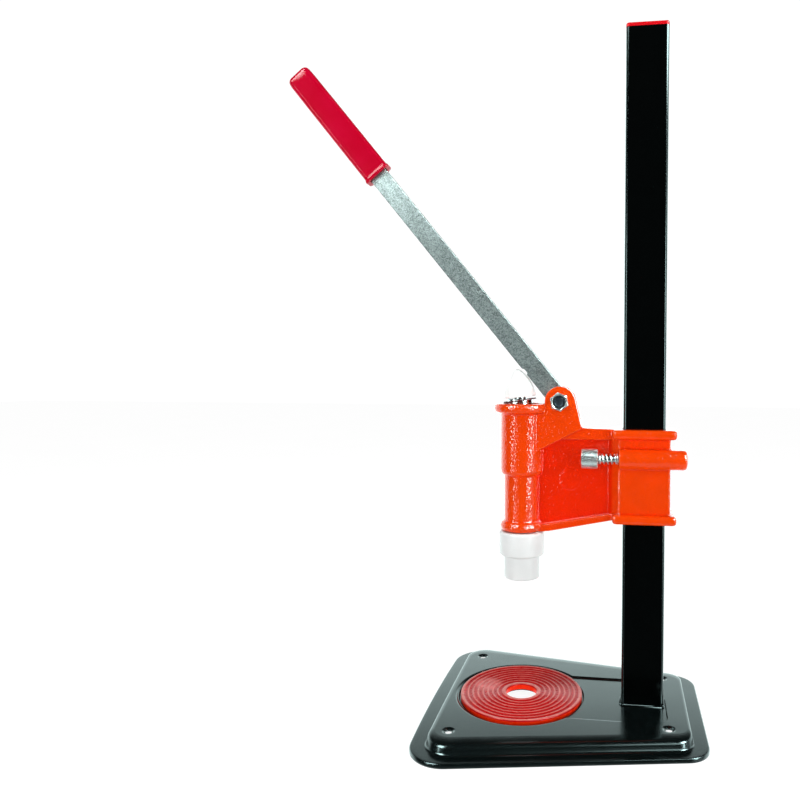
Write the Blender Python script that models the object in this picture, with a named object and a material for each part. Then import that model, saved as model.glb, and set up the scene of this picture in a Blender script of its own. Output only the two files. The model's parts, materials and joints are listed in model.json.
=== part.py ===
"""Manual bench capping machine.

A stamped steel base carries a welded rectangular column. A cast head slides on the column and is held by
a sprung catch. A hand lever, pivoted between the head's two ears, presses a domed plunger down through the
head's barrel, and a coil spring lifts it again. A nylon crimping head on the plunger's end closes the cap
of a bottle that stands on the rubber pad.

Lengths are in millimetres until mesh_object() turns them into metres. X is measured from the column's
centre line, Y from the machine's middle plane and Z from the bench. The empty called machine moves that
frame, so that the origin lies under the middle of the machine's bounding box.
"""

import math

import bmesh
import bpy
from mathutils import Matrix, Vector

MM = 0.001
GAP = 0.3

# Base plate: pressed steel sheet, a raised platform inside a flange with a turned-down rim.
SHEET = 1.8
FLANGE_Z = 4.0
PLATFORM_Z = 13.0
RIM = dict(left=-204.0, right=57.0, half=89.8, taper=0.183, radii=(31.0, 24.0), bulge=4.2)
FOOT = dict(left=-192.5, right=44.0, half=81.6, taper=0.180, radii=(23.0, 17.0), bulge=1.2)
TOP = dict(left=-186.5, right=39.6, half=64.8, taper=0.170, radii=(15.0, 13.0), bulge=0.0)
RECESS_DEPTH = 4.0
RECESS_R = 63.3
CHANNEL_HALF = 42.5
CHANNEL_END = 22.0
FLOOR_HOLE_R = 18.0
SCREW_PLACES = ((-173.0, 82.4), (-173.0, -82.4), (22.3, 52.3), (22.3, -52.3))
SCREW_HOLE_R = 3.0
DIMPLE_R = 5.6

# Column: rectangular tube with a row of catch slots in its right-hand narrow wall.
COLUMN_W = 40.0
COLUMN_D = 20.0
COLUMN_WALL = 2.0
COLUMN_CORNER = 3.0
COLUMN_FOOT_Z = PLATFORM_Z - RECESS_DEPTH + GAP
COLUMN_TOP_Z = 656.0
CAP_RIM = 4.0
CAP_DEPTH = 14.0
WELD_LEG = 4.2

# Rubber pad under the bottle, on the plunger's axis.
AXIS_X = -118.4
PAD_R = 60.3
PAD_HOLE_R = 15.3
PAD_TOP_Z = 15.0

# Head casting.
BARREL_TOP_Z = 302.0
RING_R = 27.8
RING_H = 9.0
UPPER_R = 21.1
STEP_Z = 235.0
LOWER_R = 17.4
BARREL_FOOT_Z = 177.0
BEAD_R = 21.5
BEAD_H = 9.5
UPPER_BORE_R = 19.0
LOWER_BORE_R = 13.0
EXIT_BORE_R = 9.0
UPPER_BORE_FOOT_Z = 239.0
LOWER_BORE_FOOT_Z = 181.0

CLAMP_HALF_X = 24.4
CLAMP_HALF_Y = 15.0
CLAMP_FOOT_Z = 188.5
CLAMP_TOP_Z = 278.3
CLAMP_FLANGE_H = 9.0
CLAMP_FLANGE_X = 30.2
CLAMP_FLANGE_Y = 20.5
SLEEVE_GAP = 0.3

WEB_HALF = 4.0
RIB_HALF = 9.0
EAR_HALF = 13.8
EAR_R = 14.6
EAR_SLOT_HALF = 4.7
EAR_SLOT_FOOT_Z = 287.0

# Lever and its pivot.
PIVOT_X = -80.5
PIVOT_Z = 304.4
LEVER_ANGLE = math.radians(50.75)
LEVER_W = 18.8
LEVER_T = 8.0
LEVER_LENGTH = 419.0
GRIP_START = 289.3
GRIP_END = 423.5
BOLT_R = 5.0
BOLT_HOLE_R = 5.3
HEX_FLATS = 16.0
BOLT_HEAD_H = 6.4
NUT_H = 8.0
INSERT_R = 6.2

# Plunger.
ROD_R = 8.0
PISTON_R = 18.6
PISTON_FOOT_Z = 279.0
PISTON_TOP_Z = 293.0
NECK_R = 12.7
NECK_TOP_Z = 306.2
SPIGOT_R = 6.0
SPIGOT_H = 9.5
DOME_SHIFT = -2.4
DOME_TILT = math.radians(6)
DOME_FOOT_Z = 308.2
DOME_LIP_H = 2.0
DOME_R = 15.9
DOME_HEIGHT = 25.4
DOME_POWER = 2 / 1.55
DOME_LIP_R = 16.3
DOME_SOCKET_R = 7.6
DOME_SOCKET_DEPTH = 10.5
WIPER_Z = 304.95
WIPER_TILT = math.radians(8)
ROD_SEAT = 13.2
CRIMP_TOP_Z = BARREL_FOOT_Z - GAP
CRIMP_SHOULDER_Z = 153.0
CRIMP_FOOT_Z = 130.0
CRIMP_R = 22.0
CRIMP_NOSE_R = 17.4
CRIMP_SOCKET_R = 12.0
CRIMP_SOCKET_DEPTH = 10.0
BUSH_TOP_Z = 195.0

# Height catch: knob, rod, pawl and spring, on an axis across the front of the column.
CATCH_Y = -18.5
CATCH_Z = 250.8
BOSS_R = 9.4
BOSS_LEFT = -23.8
BOSS_RIGHT = 39.2
LUG_BACK_Y = 9.0
CATCH_ROD_R = 3.5
CATCH_BORE_R = 3.8
TENON_R = 2.4
PIN_R = 0.8
KNOB_R = 9.3
KNOB_LEFT = -59.1
KNOB_RIGHT = -43.6
PAWL_LEFT = 24.8
PAWL_RIGHT = 30.2
PAWL_HALF_Z = 3.8
NOSE_LEFT = 20.4
NOSE_HALF_Y = 4.4
POCKET_RIGHT = 35.2
SLOT_PITCH = 15.0
SLOTS_BELOW = 6
SLOTS_ABOVE = 23

# Where the middle of the bounding box lies, from the lever's tip to the base's right edge.
LEVER_REACH = 356.77
COLUMN_X = (LEVER_REACH - RIM["right"]) / 2


# Scene, materials and placing.


def clear_scene():
    for obj in list(bpy.data.objects):
        bpy.data.objects.remove(obj, do_unlink=True)


def make_material(name, colour, roughness, metallic=0.0):
    material = bpy.data.materials.new(name)
    material.use_nodes = True
    shader = material.node_tree.nodes["Principled BSDF"]
    shader.inputs["Base Color"].default_value = (*colour, 1.0)
    shader.inputs["Roughness"].default_value = roughness
    shader.inputs["Metallic"].default_value = metallic
    material.diffuse_color = (*colour, 1.0)
    return material


def make_empty(name, at, parent=None):
    empty = bpy.data.objects.new(name, None)
    bpy.context.scene.collection.objects.link(empty)
    empty["datum"] = tuple(at)
    attach(empty, parent, at)
    return empty


def attach(obj, parent, at):
    """Place an object at a point of the machine's frame, as a child of an empty that may stand elsewhere."""
    if parent is None:
        obj.location = Vector(at) * MM
        return
    obj.parent = parent
    obj.location = (Vector(at) - Vector(parent["datum"])) * MM


def mesh_object(name, bm, material, parent, at):
    """Turn a bmesh in millimetres, whose zero is at the point at, into a placed object in metres."""
    bmesh.ops.recalc_face_normals(bm, faces=bm.faces)
    bmesh.ops.scale(bm, vec=(MM, MM, MM), verts=bm.verts)
    mesh = bpy.data.meshes.new(name)
    bm.to_mesh(mesh)
    bm.free()
    mesh.shade_smooth()
    mesh.set_sharp_from_angle(angle=math.radians(35))
    obj = bpy.data.objects.new(name, mesh)
    bpy.context.scene.collection.objects.link(obj)
    if material:
        mesh.materials.append(material)
    attach(obj, parent, at)
    return obj


def as_cutter(obj):
    obj.hide_render = True
    obj.display_type = "WIRE"
    return obj


def boolean(obj, operation, other):
    modifier = obj.modifiers.new(f"{operation.lower()} {other.name}", "BOOLEAN")
    modifier.operation = operation
    modifier.solver = "EXACT"
    modifier.object = as_cutter(other)


# Shapes, each a closed bmesh in millimetres.


def turn_to(bm, axis):
    """Turn a shape made along +Z so that it runs along +X, +Y or stays."""
    turns = {"X": Matrix.Rotation(math.pi / 2, 3, "Y"), "Y": Matrix.Rotation(-math.pi / 2, 3, "X")}
    if axis in turns:
        bmesh.ops.rotate(bm, cent=(0, 0, 0), matrix=turns[axis], verts=bm.verts)
    return bm


def turned(profile, segments=48, axis="Z"):
    """Revolve a closed outline of (radius, height) points about the axis."""
    bm = bmesh.new()
    rings = []
    for radius, height in profile:
        if radius == 0:
            rings.append([bm.verts.new((0, 0, height))])
            continue
        steps = (2 * math.pi * i / segments for i in range(segments))
        places = [(radius * math.cos(a), radius * math.sin(a), height) for a in steps]
        rings.append([bm.verts.new(place) for place in places])
    for lower, upper in zip(rings, rings[1:] + rings[:1]):
        if len(lower) == 1 and len(upper) == 1:
            continue
        for i in range(segments):
            j = (i + 1) % segments
            below = [lower[i % len(lower)], lower[j % len(lower)]]
            corners = below + [upper[j % len(upper)], upper[i % len(upper)]]
            bm.faces.new(list(dict.fromkeys(corners)))
    return turn_to(bm, axis)


def prism(outline, low, high, axis="Z"):
    """Extrude an outline. Along Z its points are (x, y), along Y they are (x, z)."""
    bm = bmesh.new()
    if axis == "Y":
        bottom = [bm.verts.new((x, low, z)) for x, z in outline]
    else:
        bottom = [bm.verts.new((x, y, low)) for x, y in outline]
    face = bm.faces.new(bottom)
    extruded = bmesh.ops.extrude_face_region(bm, geom=[face])["geom"]
    top = [item for item in extruded if isinstance(item, bmesh.types.BMVert)]
    step = Vector((0, high - low, 0)) if axis == "Y" else Vector((0, 0, high - low))
    bmesh.ops.translate(bm, vec=step, verts=top)
    return bm


def block(low, high, radius=0.0, segments=2):
    """A box between two corners, with its edges rounded when a radius is given."""
    bm = bmesh.new()
    bmesh.ops.create_cube(bm, size=1.0)
    size = Vector(high) - Vector(low)
    bmesh.ops.scale(bm, vec=size, verts=bm.verts)
    bmesh.ops.translate(bm, vec=(Vector(low) + Vector(high)) / 2, verts=bm.verts)
    if radius:
        edges = bm.edges[:]
        bmesh.ops.bevel(bm, geom=edges, offset=radius, segments=segments, profile=0.5, affect="EDGES")
    return bm


def arc(centre, radius, start, end, steps):
    """Points along an arc, angles in degrees."""
    angles = [math.radians(start + (end - start) * i / steps) for i in range(steps + 1)]
    return [(centre[0] + radius * math.cos(a), centre[1] + radius * math.sin(a)) for a in angles]


def rounded_rectangle(half_x, half_y, radius, steps=4):
    outline = []
    for start, sign_x, sign_y in ((0, 1, 1), (90, -1, 1), (180, -1, -1), (270, 1, -1)):
        centre = (sign_x * (half_x - radius), sign_y * (half_y - radius))
        outline += arc(centre, radius, start, start + 90, steps)
    return outline


def tube_ring(outer, inner, low, high):
    """A prism with a hole: the two outlines have the same number of points."""
    bm = bmesh.new()
    rings = [
        [bm.verts.new((x, y, z)) for x, y in outline]
        for outline, z in ((outer, low), (outer, high), (inner, high), (inner, low))
    ]
    for ring, following in zip(rings, rings[1:] + rings[:1]):
        bridge(bm, ring, following)
    return bm


def bridge(bm, ring, following):
    count = len(ring)
    for i in range(count):
        j = (i + 1) % count
        bm.faces.new((ring[i], ring[j], following[j], following[i]))


def coil(radius, wire, low, high, turns, axis="Z", steps=12, sides=6):
    """A closed coil spring that lies between two heights, with its two end turns wound close."""
    bm = bmesh.new()
    count = turns * steps
    start = low + wire / 2
    travel = high - low - wire
    rings = []
    for i in range(count + 1):
        share = i / count
        end_turn = 1 / turns
        open_share = min(max((share - end_turn) / (1 - 2 * end_turn), 0.0), 1.0)
        close_step = wire * 1.03 / travel
        height = start + travel * (min(share, end_turn) / end_turn * close_step)
        height += travel * (1 - 2 * close_step) * open_share
        height += travel * (max(share - 1 + end_turn, 0.0) / end_turn * close_step)
        angle = 2 * math.pi * turns * share
        outward = Vector((math.cos(angle), math.sin(angle), 0))
        centre = outward * radius + Vector((0, 0, height))
        ring = []
        for k in range(sides):
            turn = 2 * math.pi * k / sides
            offset = outward * math.cos(turn) + Vector((0, 0, 1)) * math.sin(turn)
            ring.append(bm.verts.new(centre + offset * wire / 2))
        rings.append(ring)
    for ring, following in zip(rings, rings[1:]):
        bridge(bm, ring, following)
    bm.faces.new(rings[0])
    bm.faces.new(rings[-1])
    return turn_to(bm, axis)


# Base plate.


def rounded_corner(before, corner, after, radius, steps):
    """Points along the arc that rounds one corner of an outline drawn anticlockwise."""
    back = (before - corner).normalized()
    onward = (after - corner).normalized()
    half_angle = back.angle(onward) / 2
    centre = corner + (back + onward).normalized() * (radius / math.sin(half_angle))
    start = corner + back * (radius / math.tan(half_angle)) - centre
    sweep = math.pi - 2 * half_angle
    return [centre + Matrix.Rotation(sweep * i / steps, 2) @ start for i in range(steps + 1)]


def plan_outline(left, right, half, taper, radii, bulge):
    """A tapered plan with rounded corners; its left edge bows out by the bulge."""
    width_left = half - taper * left
    width_right = half - taper * right
    corners = [(left, -width_left), (right, -width_right), (right, width_right), (left, width_left)]
    corners = [Vector(corner) for corner in corners]
    corner_radii = (radii[0], radii[1], radii[1], radii[0])
    arcs = [
        rounded_corner(corners[i - 1], corners[i], corners[(i + 1) % 4], corner_radii[i], 7) for i in range(4)
    ]
    points = []
    for i, side_steps in enumerate((6, 4, 6, 8)):
        points += arcs[i]
        following = arcs[(i + 1) % 4][0]
        points += [arcs[i][-1].lerp(following, step / side_steps) for step in range(1, side_steps)]
    for point in points:
        nearness = max(0.0, 1 - (point.x - left) / radii[0])
        point.x -= bulge * nearness * (1 - (point.y / width_left) ** 2)
    return [(point.x, point.y) for point in points]


def keyhole_outline(grow):
    """The recess: a round seat for the pad, opening into a channel that runs to the column."""
    radius = RECESS_R + grow
    half = CHANNEL_HALF + grow
    mouth = math.degrees(math.asin(half / radius))
    points = arc((AXIS_X, 0), radius, mouth, 360 - mouth, 36)
    mouth_x = points[-1][0]
    corner = 12.0 + grow
    end = CHANNEL_END + 0.3 * grow
    for i in range(1, 4):
        points.append((mouth_x + (end - corner - mouth_x) * i / 4, -half))
    points += arc((end - corner, -half + corner), corner, 270, 360, 4)
    points += arc((end - corner, half - corner), corner, 0, 90, 4)
    for i in range(1, 4):
        points.append((end - corner + (mouth_x - end + corner) * i / 4, half))
    return points


def add_ring(bm, outline, z):
    return [bm.verts.new((x, y, z)) for x, y in outline]


def ring_edges(bm, ring):
    return [bm.edges.get((a, b)) or bm.edges.new((a, b)) for a, b in zip(ring, ring[1:] + ring[:1])]


def fill_between(bm, *rings):
    edges = [edge for ring in rings for edge in ring_edges(bm, ring)]
    bmesh.ops.triangle_fill(bm, use_beauty=True, use_dissolve=False, edges=edges)


def blended(outline, other, share):
    return [(a[0] + (b[0] - a[0]) * share, a[1] + (b[1] - a[1]) * share) for a, b in zip(outline, other)]


def build_base(parent, material):
    """One pressed sheet: every ring is a level line of its upper face, and Solidify gives the thickness."""
    bm = bmesh.new()
    rim, foot, top = (plan_outline(**shape) for shape in (RIM, FOOT, TOP))
    rise = PLATFORM_Z - FLANGE_Z
    levels = [add_ring(bm, rim, 0.0), add_ring(bm, rim, FLANGE_Z - 1.5)]
    levels.append(add_ring(bm, blended(rim, foot, 0.10), FLANGE_Z))
    shoulder = ((0.0, 0.0), (0.18, 0.10), (0.36, 0.34), (0.52, 0.66), (0.70, 0.89), (1.0, 1.0))
    for inward, upward in shoulder:
        levels.append(add_ring(bm, blended(foot, top, inward), FLANGE_Z + rise * upward))
    for ring, following in zip(levels, levels[1:]):
        bridge(bm, ring, following)

    lip = ((3.0, 0.0), (1.4, -0.5), (0.2, -1.6), (-0.6, -3.0), (-1.4, -3.7), (-2.3, -4.0))
    recess = [add_ring(bm, keyhole_outline(grow), PLATFORM_Z + drop * RECESS_DEPTH / 4) for grow, drop in lip]
    for ring, following in zip(recess, recess[1:]):
        bridge(bm, ring, following)

    dimples = []
    for x, y in SCREW_PLACES:
        steps = ((DIMPLE_R, 0.0), (DIMPLE_R - 1.2, -0.7), (SCREW_HOLE_R, -1.1))
        rings = [add_ring(bm, arc((x, y), r, 0, 330, 11), PLATFORM_Z + drop) for r, drop in steps]
        for ring, following in zip(rings, rings[1:]):
            bridge(bm, ring, following)
        dimples.append(rings[0])
    fill_between(bm, levels[-1], recess[0], *dimples)

    hole = add_ring(bm, arc((AXIS_X, 0), FLOOR_HOLE_R, 0, 350, 35), PLATFORM_Z - RECESS_DEPTH)
    fill_between(bm, recess[-1], hole)
    base = mesh_object("base_plate", bm, material, parent, (0, 0, 0))
    if min(polygon.normal.z for polygon in base.data.polygons if polygon.area > 1e-4) < 0:
        base.data.flip_normals()
    solidify = base.modifiers.new("sheet", "SOLIDIFY")
    solidify.thickness = SHEET * MM
    solidify.offset = -1.0
    solidify.use_even_offset = True
    return base


# Column, cap, weld and pad.


def build_column(parent, material):
    outer = rounded_rectangle(COLUMN_W / 2, COLUMN_D / 2, COLUMN_CORNER)
    inner = rounded_rectangle(
        COLUMN_W / 2 - COLUMN_WALL, COLUMN_D / 2 - COLUMN_WALL, COLUMN_CORNER - COLUMN_WALL
    )
    bm = tube_ring(outer, inner, 0, COLUMN_TOP_Z - COLUMN_FOOT_Z)
    column = mesh_object("column", bm, material, parent, (0, 0, COLUMN_FOOT_Z))
    slots = bmesh.new()
    for step in range(-SLOTS_BELOW, SLOTS_ABOVE + 1):
        centre = CATCH_Z + step * SLOT_PITCH - COLUMN_FOOT_Z
        low = Vector((COLUMN_W / 2 - COLUMN_WALL - 1, -5.0, centre - 4.1))
        high = Vector((COLUMN_W / 2 + 1, 5.0, centre + 4.1))
        cube = bmesh.ops.create_cube(slots, size=1.0)["verts"]
        bmesh.ops.scale(slots, vec=high - low, verts=cube)
        bmesh.ops.translate(slots, vec=(low + high) / 2, verts=cube)
    boolean(column, "DIFFERENCE", mesh_object("slot_cutter", slots, None, parent, (0, 0, COLUMN_FOOT_Z)))
    return column


def build_cap(parent, material):
    """The plug in the column's open end: a rim on top of the tube and a hollow skirt inside it."""
    skirt_x = COLUMN_W / 2 - COLUMN_WALL - GAP
    skirt_y = COLUMN_D / 2 - COLUMN_WALL - GAP
    rim = rounded_rectangle(COLUMN_W / 2, COLUMN_D / 2, COLUMN_CORNER)
    rim_top = rounded_rectangle(COLUMN_W / 2 - 0.8, COLUMN_D / 2 - 0.8, COLUMN_CORNER - 0.8)
    skirt = rounded_rectangle(skirt_x, skirt_y, 0.8)
    hollow = rounded_rectangle(skirt_x - 2, skirt_y - 2, 0.6)
    bm = bmesh.new()
    levels = ((rim_top, CAP_RIM), (rim, CAP_RIM - 0.8), (rim, GAP), (skirt, GAP), (skirt, -CAP_DEPTH))
    levels += ((hollow, -CAP_DEPTH), (hollow, 0.5))
    rings = [add_ring(bm, outline, z) for outline, z in levels]
    for ring, following in zip(rings, rings[1:]):
        bridge(bm, ring, following)
    bm.faces.new(rings[0])
    bm.faces.new(rings[-1])
    return mesh_object("column_cap", bm, material, parent, (0, 0, COLUMN_TOP_Z))


def build_weld(parent, material):
    """The fillet weld all round the column's foot, with the ripple of a hand-laid bead."""
    inner = rounded_rectangle(COLUMN_W / 2 + GAP, COLUMN_D / 2 + GAP, COLUMN_CORNER + GAP, steps=5)
    bm = bmesh.new()
    toe = []
    for index, (x, y) in enumerate(inner):
        ripple = WELD_LEG + 0.7 * math.sin(index * 2.3)
        outward = Vector((x, y)).normalized()
        toe.append((min(x + outward.x * ripple, COLUMN_W / 2 + 0.8), y + outward.y * ripple))
    low = add_ring(bm, inner, 0.0)
    spread = add_ring(bm, toe, 0.0)
    crown = add_ring(bm, blended(inner, toe, 0.45), WELD_LEG * 0.62)
    high = add_ring(bm, inner, WELD_LEG)
    for ring, following in ((low, spread), (spread, crown), (crown, high), (high, low)):
        bridge(bm, ring, following)
    return mesh_object("foot_weld", bm, material, parent, (0, 0, COLUMN_FOOT_Z))


def build_pad(parent, material):
    foot = PLATFORM_Z - RECESS_DEPTH + GAP
    height = PAD_TOP_Z - foot
    profile = [(PAD_HOLE_R, 0), (PAD_R - 0.6, 0), (PAD_R, 0.8), (PAD_R, height - 1.2)]
    profile += [(PAD_R - 1.0, height), (PAD_HOLE_R + 0.8, height), (PAD_HOLE_R, height - 0.8)]
    return mesh_object("rubber_pad", turned(profile, 64), material, parent, (AXIS_X, 0, foot))


# Head casting.


def barrel_profile():
    bead = RING_H / 2
    foot_bead = BEAD_H / 2
    foot = BARREL_FOOT_Z
    profile = [(0, foot), (BEAD_R - 4, foot), (BEAD_R - 1.2, foot + 1.3), (BEAD_R, foot + foot_bead)]
    profile += [(BEAD_R - 1.2, foot + BEAD_H - 1.3), (BEAD_R - 3, foot + BEAD_H)]
    profile += [(LOWER_R, foot + BEAD_H + 0.8)]
    profile += [(LOWER_R, STEP_Z - 3), (UPPER_R - 1.4, STEP_Z - 2), (UPPER_R, STEP_Z + 1)]
    ring_foot = BARREL_TOP_Z - RING_H
    profile += [(UPPER_R, ring_foot - 0.8), (RING_R - 3, ring_foot), (RING_R - 0.9, ring_foot + 1.2)]
    profile += [(RING_R, ring_foot + bead), (RING_R - 0.9, BARREL_TOP_Z - 1.2), (RING_R - 3, BARREL_TOP_Z)]
    return profile + [(0, BARREL_TOP_Z)]


def barrel_bore_profile():
    top = BARREL_TOP_Z + 1
    foot = BARREL_FOOT_Z - 1
    profile = [(0, foot), (EXIT_BORE_R, foot), (EXIT_BORE_R, LOWER_BORE_FOOT_Z)]
    profile += [(LOWER_BORE_R, LOWER_BORE_FOOT_Z), (LOWER_BORE_R, UPPER_BORE_FOOT_Z)]
    return profile + [(UPPER_BORE_R, UPPER_BORE_FOOT_Z), (UPPER_BORE_R, top), (0, top)]


def ear_outline():
    """Both ears share this outline: a round lobe about the pivot on a wedge that joins the barrel."""
    lobe = arc((PIVOT_X, PIVOT_Z), EAR_R, 14.5, 180, 12)
    wedge = [(AXIS_X + 8, 254), (-100.2, 257.7), (-60.0, 278.6), (-59.6, 280.5)]
    return wedge + lobe + [(PIVOT_X - EAR_R, 297), (AXIS_X + 8, 297)]


def web_outline():
    return [(AXIS_X + 5, 180), (-95, 180), (-26, 193), (-26, 274), (AXIS_X + 5, 274)]


def lower_rib_outline():
    under = [(AXIS_X + 5, 177.2), (-98, 177.2), (-90, 178.2), (-28, 190.8)]
    return under + [(-28, 197.2), (-95, 184.2), (AXIS_X + 5, 184.2)]


def upper_rib_outline():
    return [(-100, 268.2), (-28, 268.2), (-28, 278.0), (-56, 278.8), (-60, 280.2), (-64, 284), (-100, 284)]


def clamp_taper_outline():
    """Plan of the wall that widens from the web to the clamp's full depth."""
    half_y = CLAMP_HALF_Y - 0.5
    front = [(-CLAMP_HALF_X - 9.3, -WEB_HALF), (-CLAMP_HALF_X, -half_y), (-CLAMP_HALF_X + 3, -half_y)]
    return front + [(x, -y) for x, y in reversed(front)]


def catch_boss():
    """The catch's housing: round in front, flat above and below, and rounded over at its right-hand end."""
    bm = bmesh.new()
    rings = []
    for x, inset in ((BOSS_LEFT, 0.0), (BOSS_RIGHT - 3, 0.0), (BOSS_RIGHT - 0.9, 0.9), (BOSS_RIGHT, 3.0)):
        front = arc((CATCH_Y, CATCH_Z), BOSS_R - inset, 90, 270, 14)
        back = LUG_BACK_Y - inset
        outline = front + [(back, CATCH_Z - BOSS_R + inset), (back, CATCH_Z + BOSS_R - inset)]
        rings.append([bm.verts.new((x, y, z)) for y, z in outline])
    for ring, following in zip(rings, rings[1:]):
        bridge(bm, ring, following)
    bm.faces.new(rings[0])
    bm.faces.new(rings[-1])
    return bm


def head_additions():
    """Name and shape of each mass that is joined to the barrel to make the casting."""
    clamp = rounded_rectangle(CLAMP_HALF_X, CLAMP_HALF_Y, 1.5, steps=2)
    flange_low = (-CLAMP_FLANGE_X, -CLAMP_FLANGE_Y, CLAMP_FOOT_Z)
    flange_high = (CLAMP_FLANGE_X, CLAMP_FLANGE_Y, CLAMP_FOOT_Z + CLAMP_FLANGE_H)
    top_low = (-CLAMP_FLANGE_X, -CLAMP_FLANGE_Y, CLAMP_TOP_Z - CLAMP_FLANGE_H)
    top_high = (CLAMP_FLANGE_X, CLAMP_FLANGE_Y, CLAMP_TOP_Z)
    return {
        "web": prism(web_outline(), -WEB_HALF, WEB_HALF, "Y"),
        "lower_rib": prism(lower_rib_outline(), -RIB_HALF, RIB_HALF, "Y"),
        "upper_rib": prism(upper_rib_outline(), -RIB_HALF, RIB_HALF, "Y"),
        "ears": prism(ear_outline(), -EAR_HALF, EAR_HALF, "Y"),
        "clamp": prism(clamp, CLAMP_FOOT_Z + 2, CLAMP_TOP_Z - 2),
        "clamp_taper": prism(clamp_taper_outline(), CLAMP_FOOT_Z + 3, CLAMP_TOP_Z - 3),
        "clamp_foot_flange": block(flange_low, flange_high, 3.4, 3),
        "clamp_top_flange": block(top_low, top_high, 3.4, 3),
        "catch_boss": catch_boss(),
    }


def head_cuts():
    """Name and shape of each hole and slot in the casting."""
    sleeve = rounded_rectangle(
        COLUMN_W / 2 + SLEEVE_GAP, COLUMN_D / 2 + SLEEVE_GAP, COLUMN_CORNER + SLEEVE_GAP
    )
    bolt_hole = turned([(0, -20), (BOLT_HOLE_R, -20), (BOLT_HOLE_R, 20), (0, 20)], 24, "Y")
    bmesh.ops.translate(bolt_hole, vec=(PIVOT_X, 0, PIVOT_Z), verts=bolt_hole.verts)
    rod_hole = turned([(0, -30), (CATCH_BORE_R, -30), (CATCH_BORE_R, 26), (0, 26)], 20, "X")
    bmesh.ops.translate(rod_hole, vec=(0, CATCH_Y, CATCH_Z), verts=rod_hole.verts)
    room = PAWL_HALF_Z + 0.5
    pocket_low = (PAWL_LEFT - 0.6, CATCH_Y - 5.0, CATCH_Z - room)
    pocket_high = (POCKET_RIGHT, LUG_BACK_Y + 1, CATCH_Z + room)
    window_low = (COLUMN_W / 2 - 1, -NOSE_HALF_Y - 0.5, CATCH_Z - room)
    window_high = (CLAMP_HALF_X + 1, NOSE_HALF_Y + 0.5, CATCH_Z + room)
    slot_low = (AXIS_X + 10, -EAR_SLOT_HALF, EAR_SLOT_FOOT_Z)
    slot_high = (-50, EAR_SLOT_HALF, PIVOT_Z + 20)
    bore = turned(barrel_bore_profile(), 48)
    bmesh.ops.translate(bore, vec=(AXIS_X, 0, 0), verts=bore.verts)
    return {
        "sleeve": prism(sleeve, CLAMP_FOOT_Z - 1, CLAMP_TOP_Z + 1),
        "ear_slot": block(slot_low, slot_high),
        "bolt_hole": bolt_hole,
        "rod_hole": rod_hole,
        "pawl_pocket": block(pocket_low, pocket_high),
        "pawl_window": block(window_low, window_high),
        "bore": bore,
    }


def build_casting(parent, material):
    barrel = turned(barrel_profile(), 64)
    bmesh.ops.translate(barrel, vec=(AXIS_X, 0, 0), verts=barrel.verts)
    casting = mesh_object("head_casting", barrel, material, parent, (0, 0, 0))
    for name, shape in head_additions().items():
        boolean(casting, "UNION", mesh_object(f"{name}_mass", shape, None, parent, (0, 0, 0)))
    for name, shape in head_cuts().items():
        boolean(casting, "DIFFERENCE", mesh_object(f"{name}_cutter", shape, None, parent, (0, 0, 0)))
    return casting


# Pivot bolt and nut, along Y, the nut at the front.


def hexagon(flats):
    return arc((0, 0), flats / math.sqrt(3), 20, 320, 5)


def build_pivot(parent, zinc, black, nylon):
    at = (PIVOT_X, 0, PIVOT_Z)
    head_y = EAR_HALF + GAP
    bolt_end = -EAR_HALF - 8.9
    shank = [(0, bolt_end), (BOLT_R - 0.8, bolt_end), (BOLT_R, bolt_end + 0.8)]
    shank += [(BOLT_R, head_y + 1), (0, head_y + 1)]
    bolt = mesh_object("pivot_bolt", turned(shank, 24, "Y"), black, parent, at)
    bolt_head = prism(hexagon(HEX_FLATS), head_y, head_y + BOLT_HEAD_H, "Y")
    boolean(bolt, "UNION", mesh_object("bolt_head_mass", bolt_head, None, parent, at))

    nut_back = -EAR_HALF - GAP
    nut_front = nut_back - NUT_H
    nut = mesh_object("pivot_nut", prism(hexagon(HEX_FLATS), nut_front, nut_back, "Y"), zinc, parent, at)
    bore = [(0, nut_back + 1), (BOLT_HOLE_R, nut_back + 1), (BOLT_HOLE_R, nut_front + 3)]
    bore += [(INSERT_R + GAP, nut_front + 3), (INSERT_R + GAP, nut_front - 1), (0, nut_front - 1)]
    boolean(nut, "DIFFERENCE", mesh_object("nut_bore_cutter", turned(bore, 24, "Y"), None, parent, at))
    insert = [(radius, nut_front + 2.7) for radius in (BOLT_HOLE_R, INSERT_R)]
    insert += [(radius, nut_front + 0.4) for radius in (INSERT_R, BOLT_HOLE_R)]
    mesh_object("nut_locking_insert", turned(insert, 24, "Y"), nylon, parent, at)


# Plunger and what it runs in.


def build_guide(parent, bronze, steel):
    foot = LOWER_BORE_FOOT_Z + GAP
    outer = LOWER_BORE_R - GAP
    inner = ROD_R + GAP
    height = BUSH_TOP_Z - foot
    profile = [(inner, 0), (outer - 0.6, 0), (outer, 0.6)]
    profile += [(outer, height - 0.6), (outer - 0.6, height), (inner, height)]
    mesh_object("lower_guide_bush", turned(profile, 36), bronze, parent, (AXIS_X, 0, foot))
    spring = coil(10.9, 2.2, BUSH_TOP_Z + GAP, PISTON_FOOT_Z - GAP, 11, steps=10, sides=5)
    mesh_object("return_spring", spring, steel, parent, (AXIS_X, 0, 0))


def leaning(bm, angle):
    """Tip a shape about its own zero, away from the lever."""
    bmesh.ops.rotate(bm, cent=(0, 0, 0), matrix=Matrix.Rotation(-angle, 3, "Y"), verts=bm.verts)
    return bm


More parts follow.
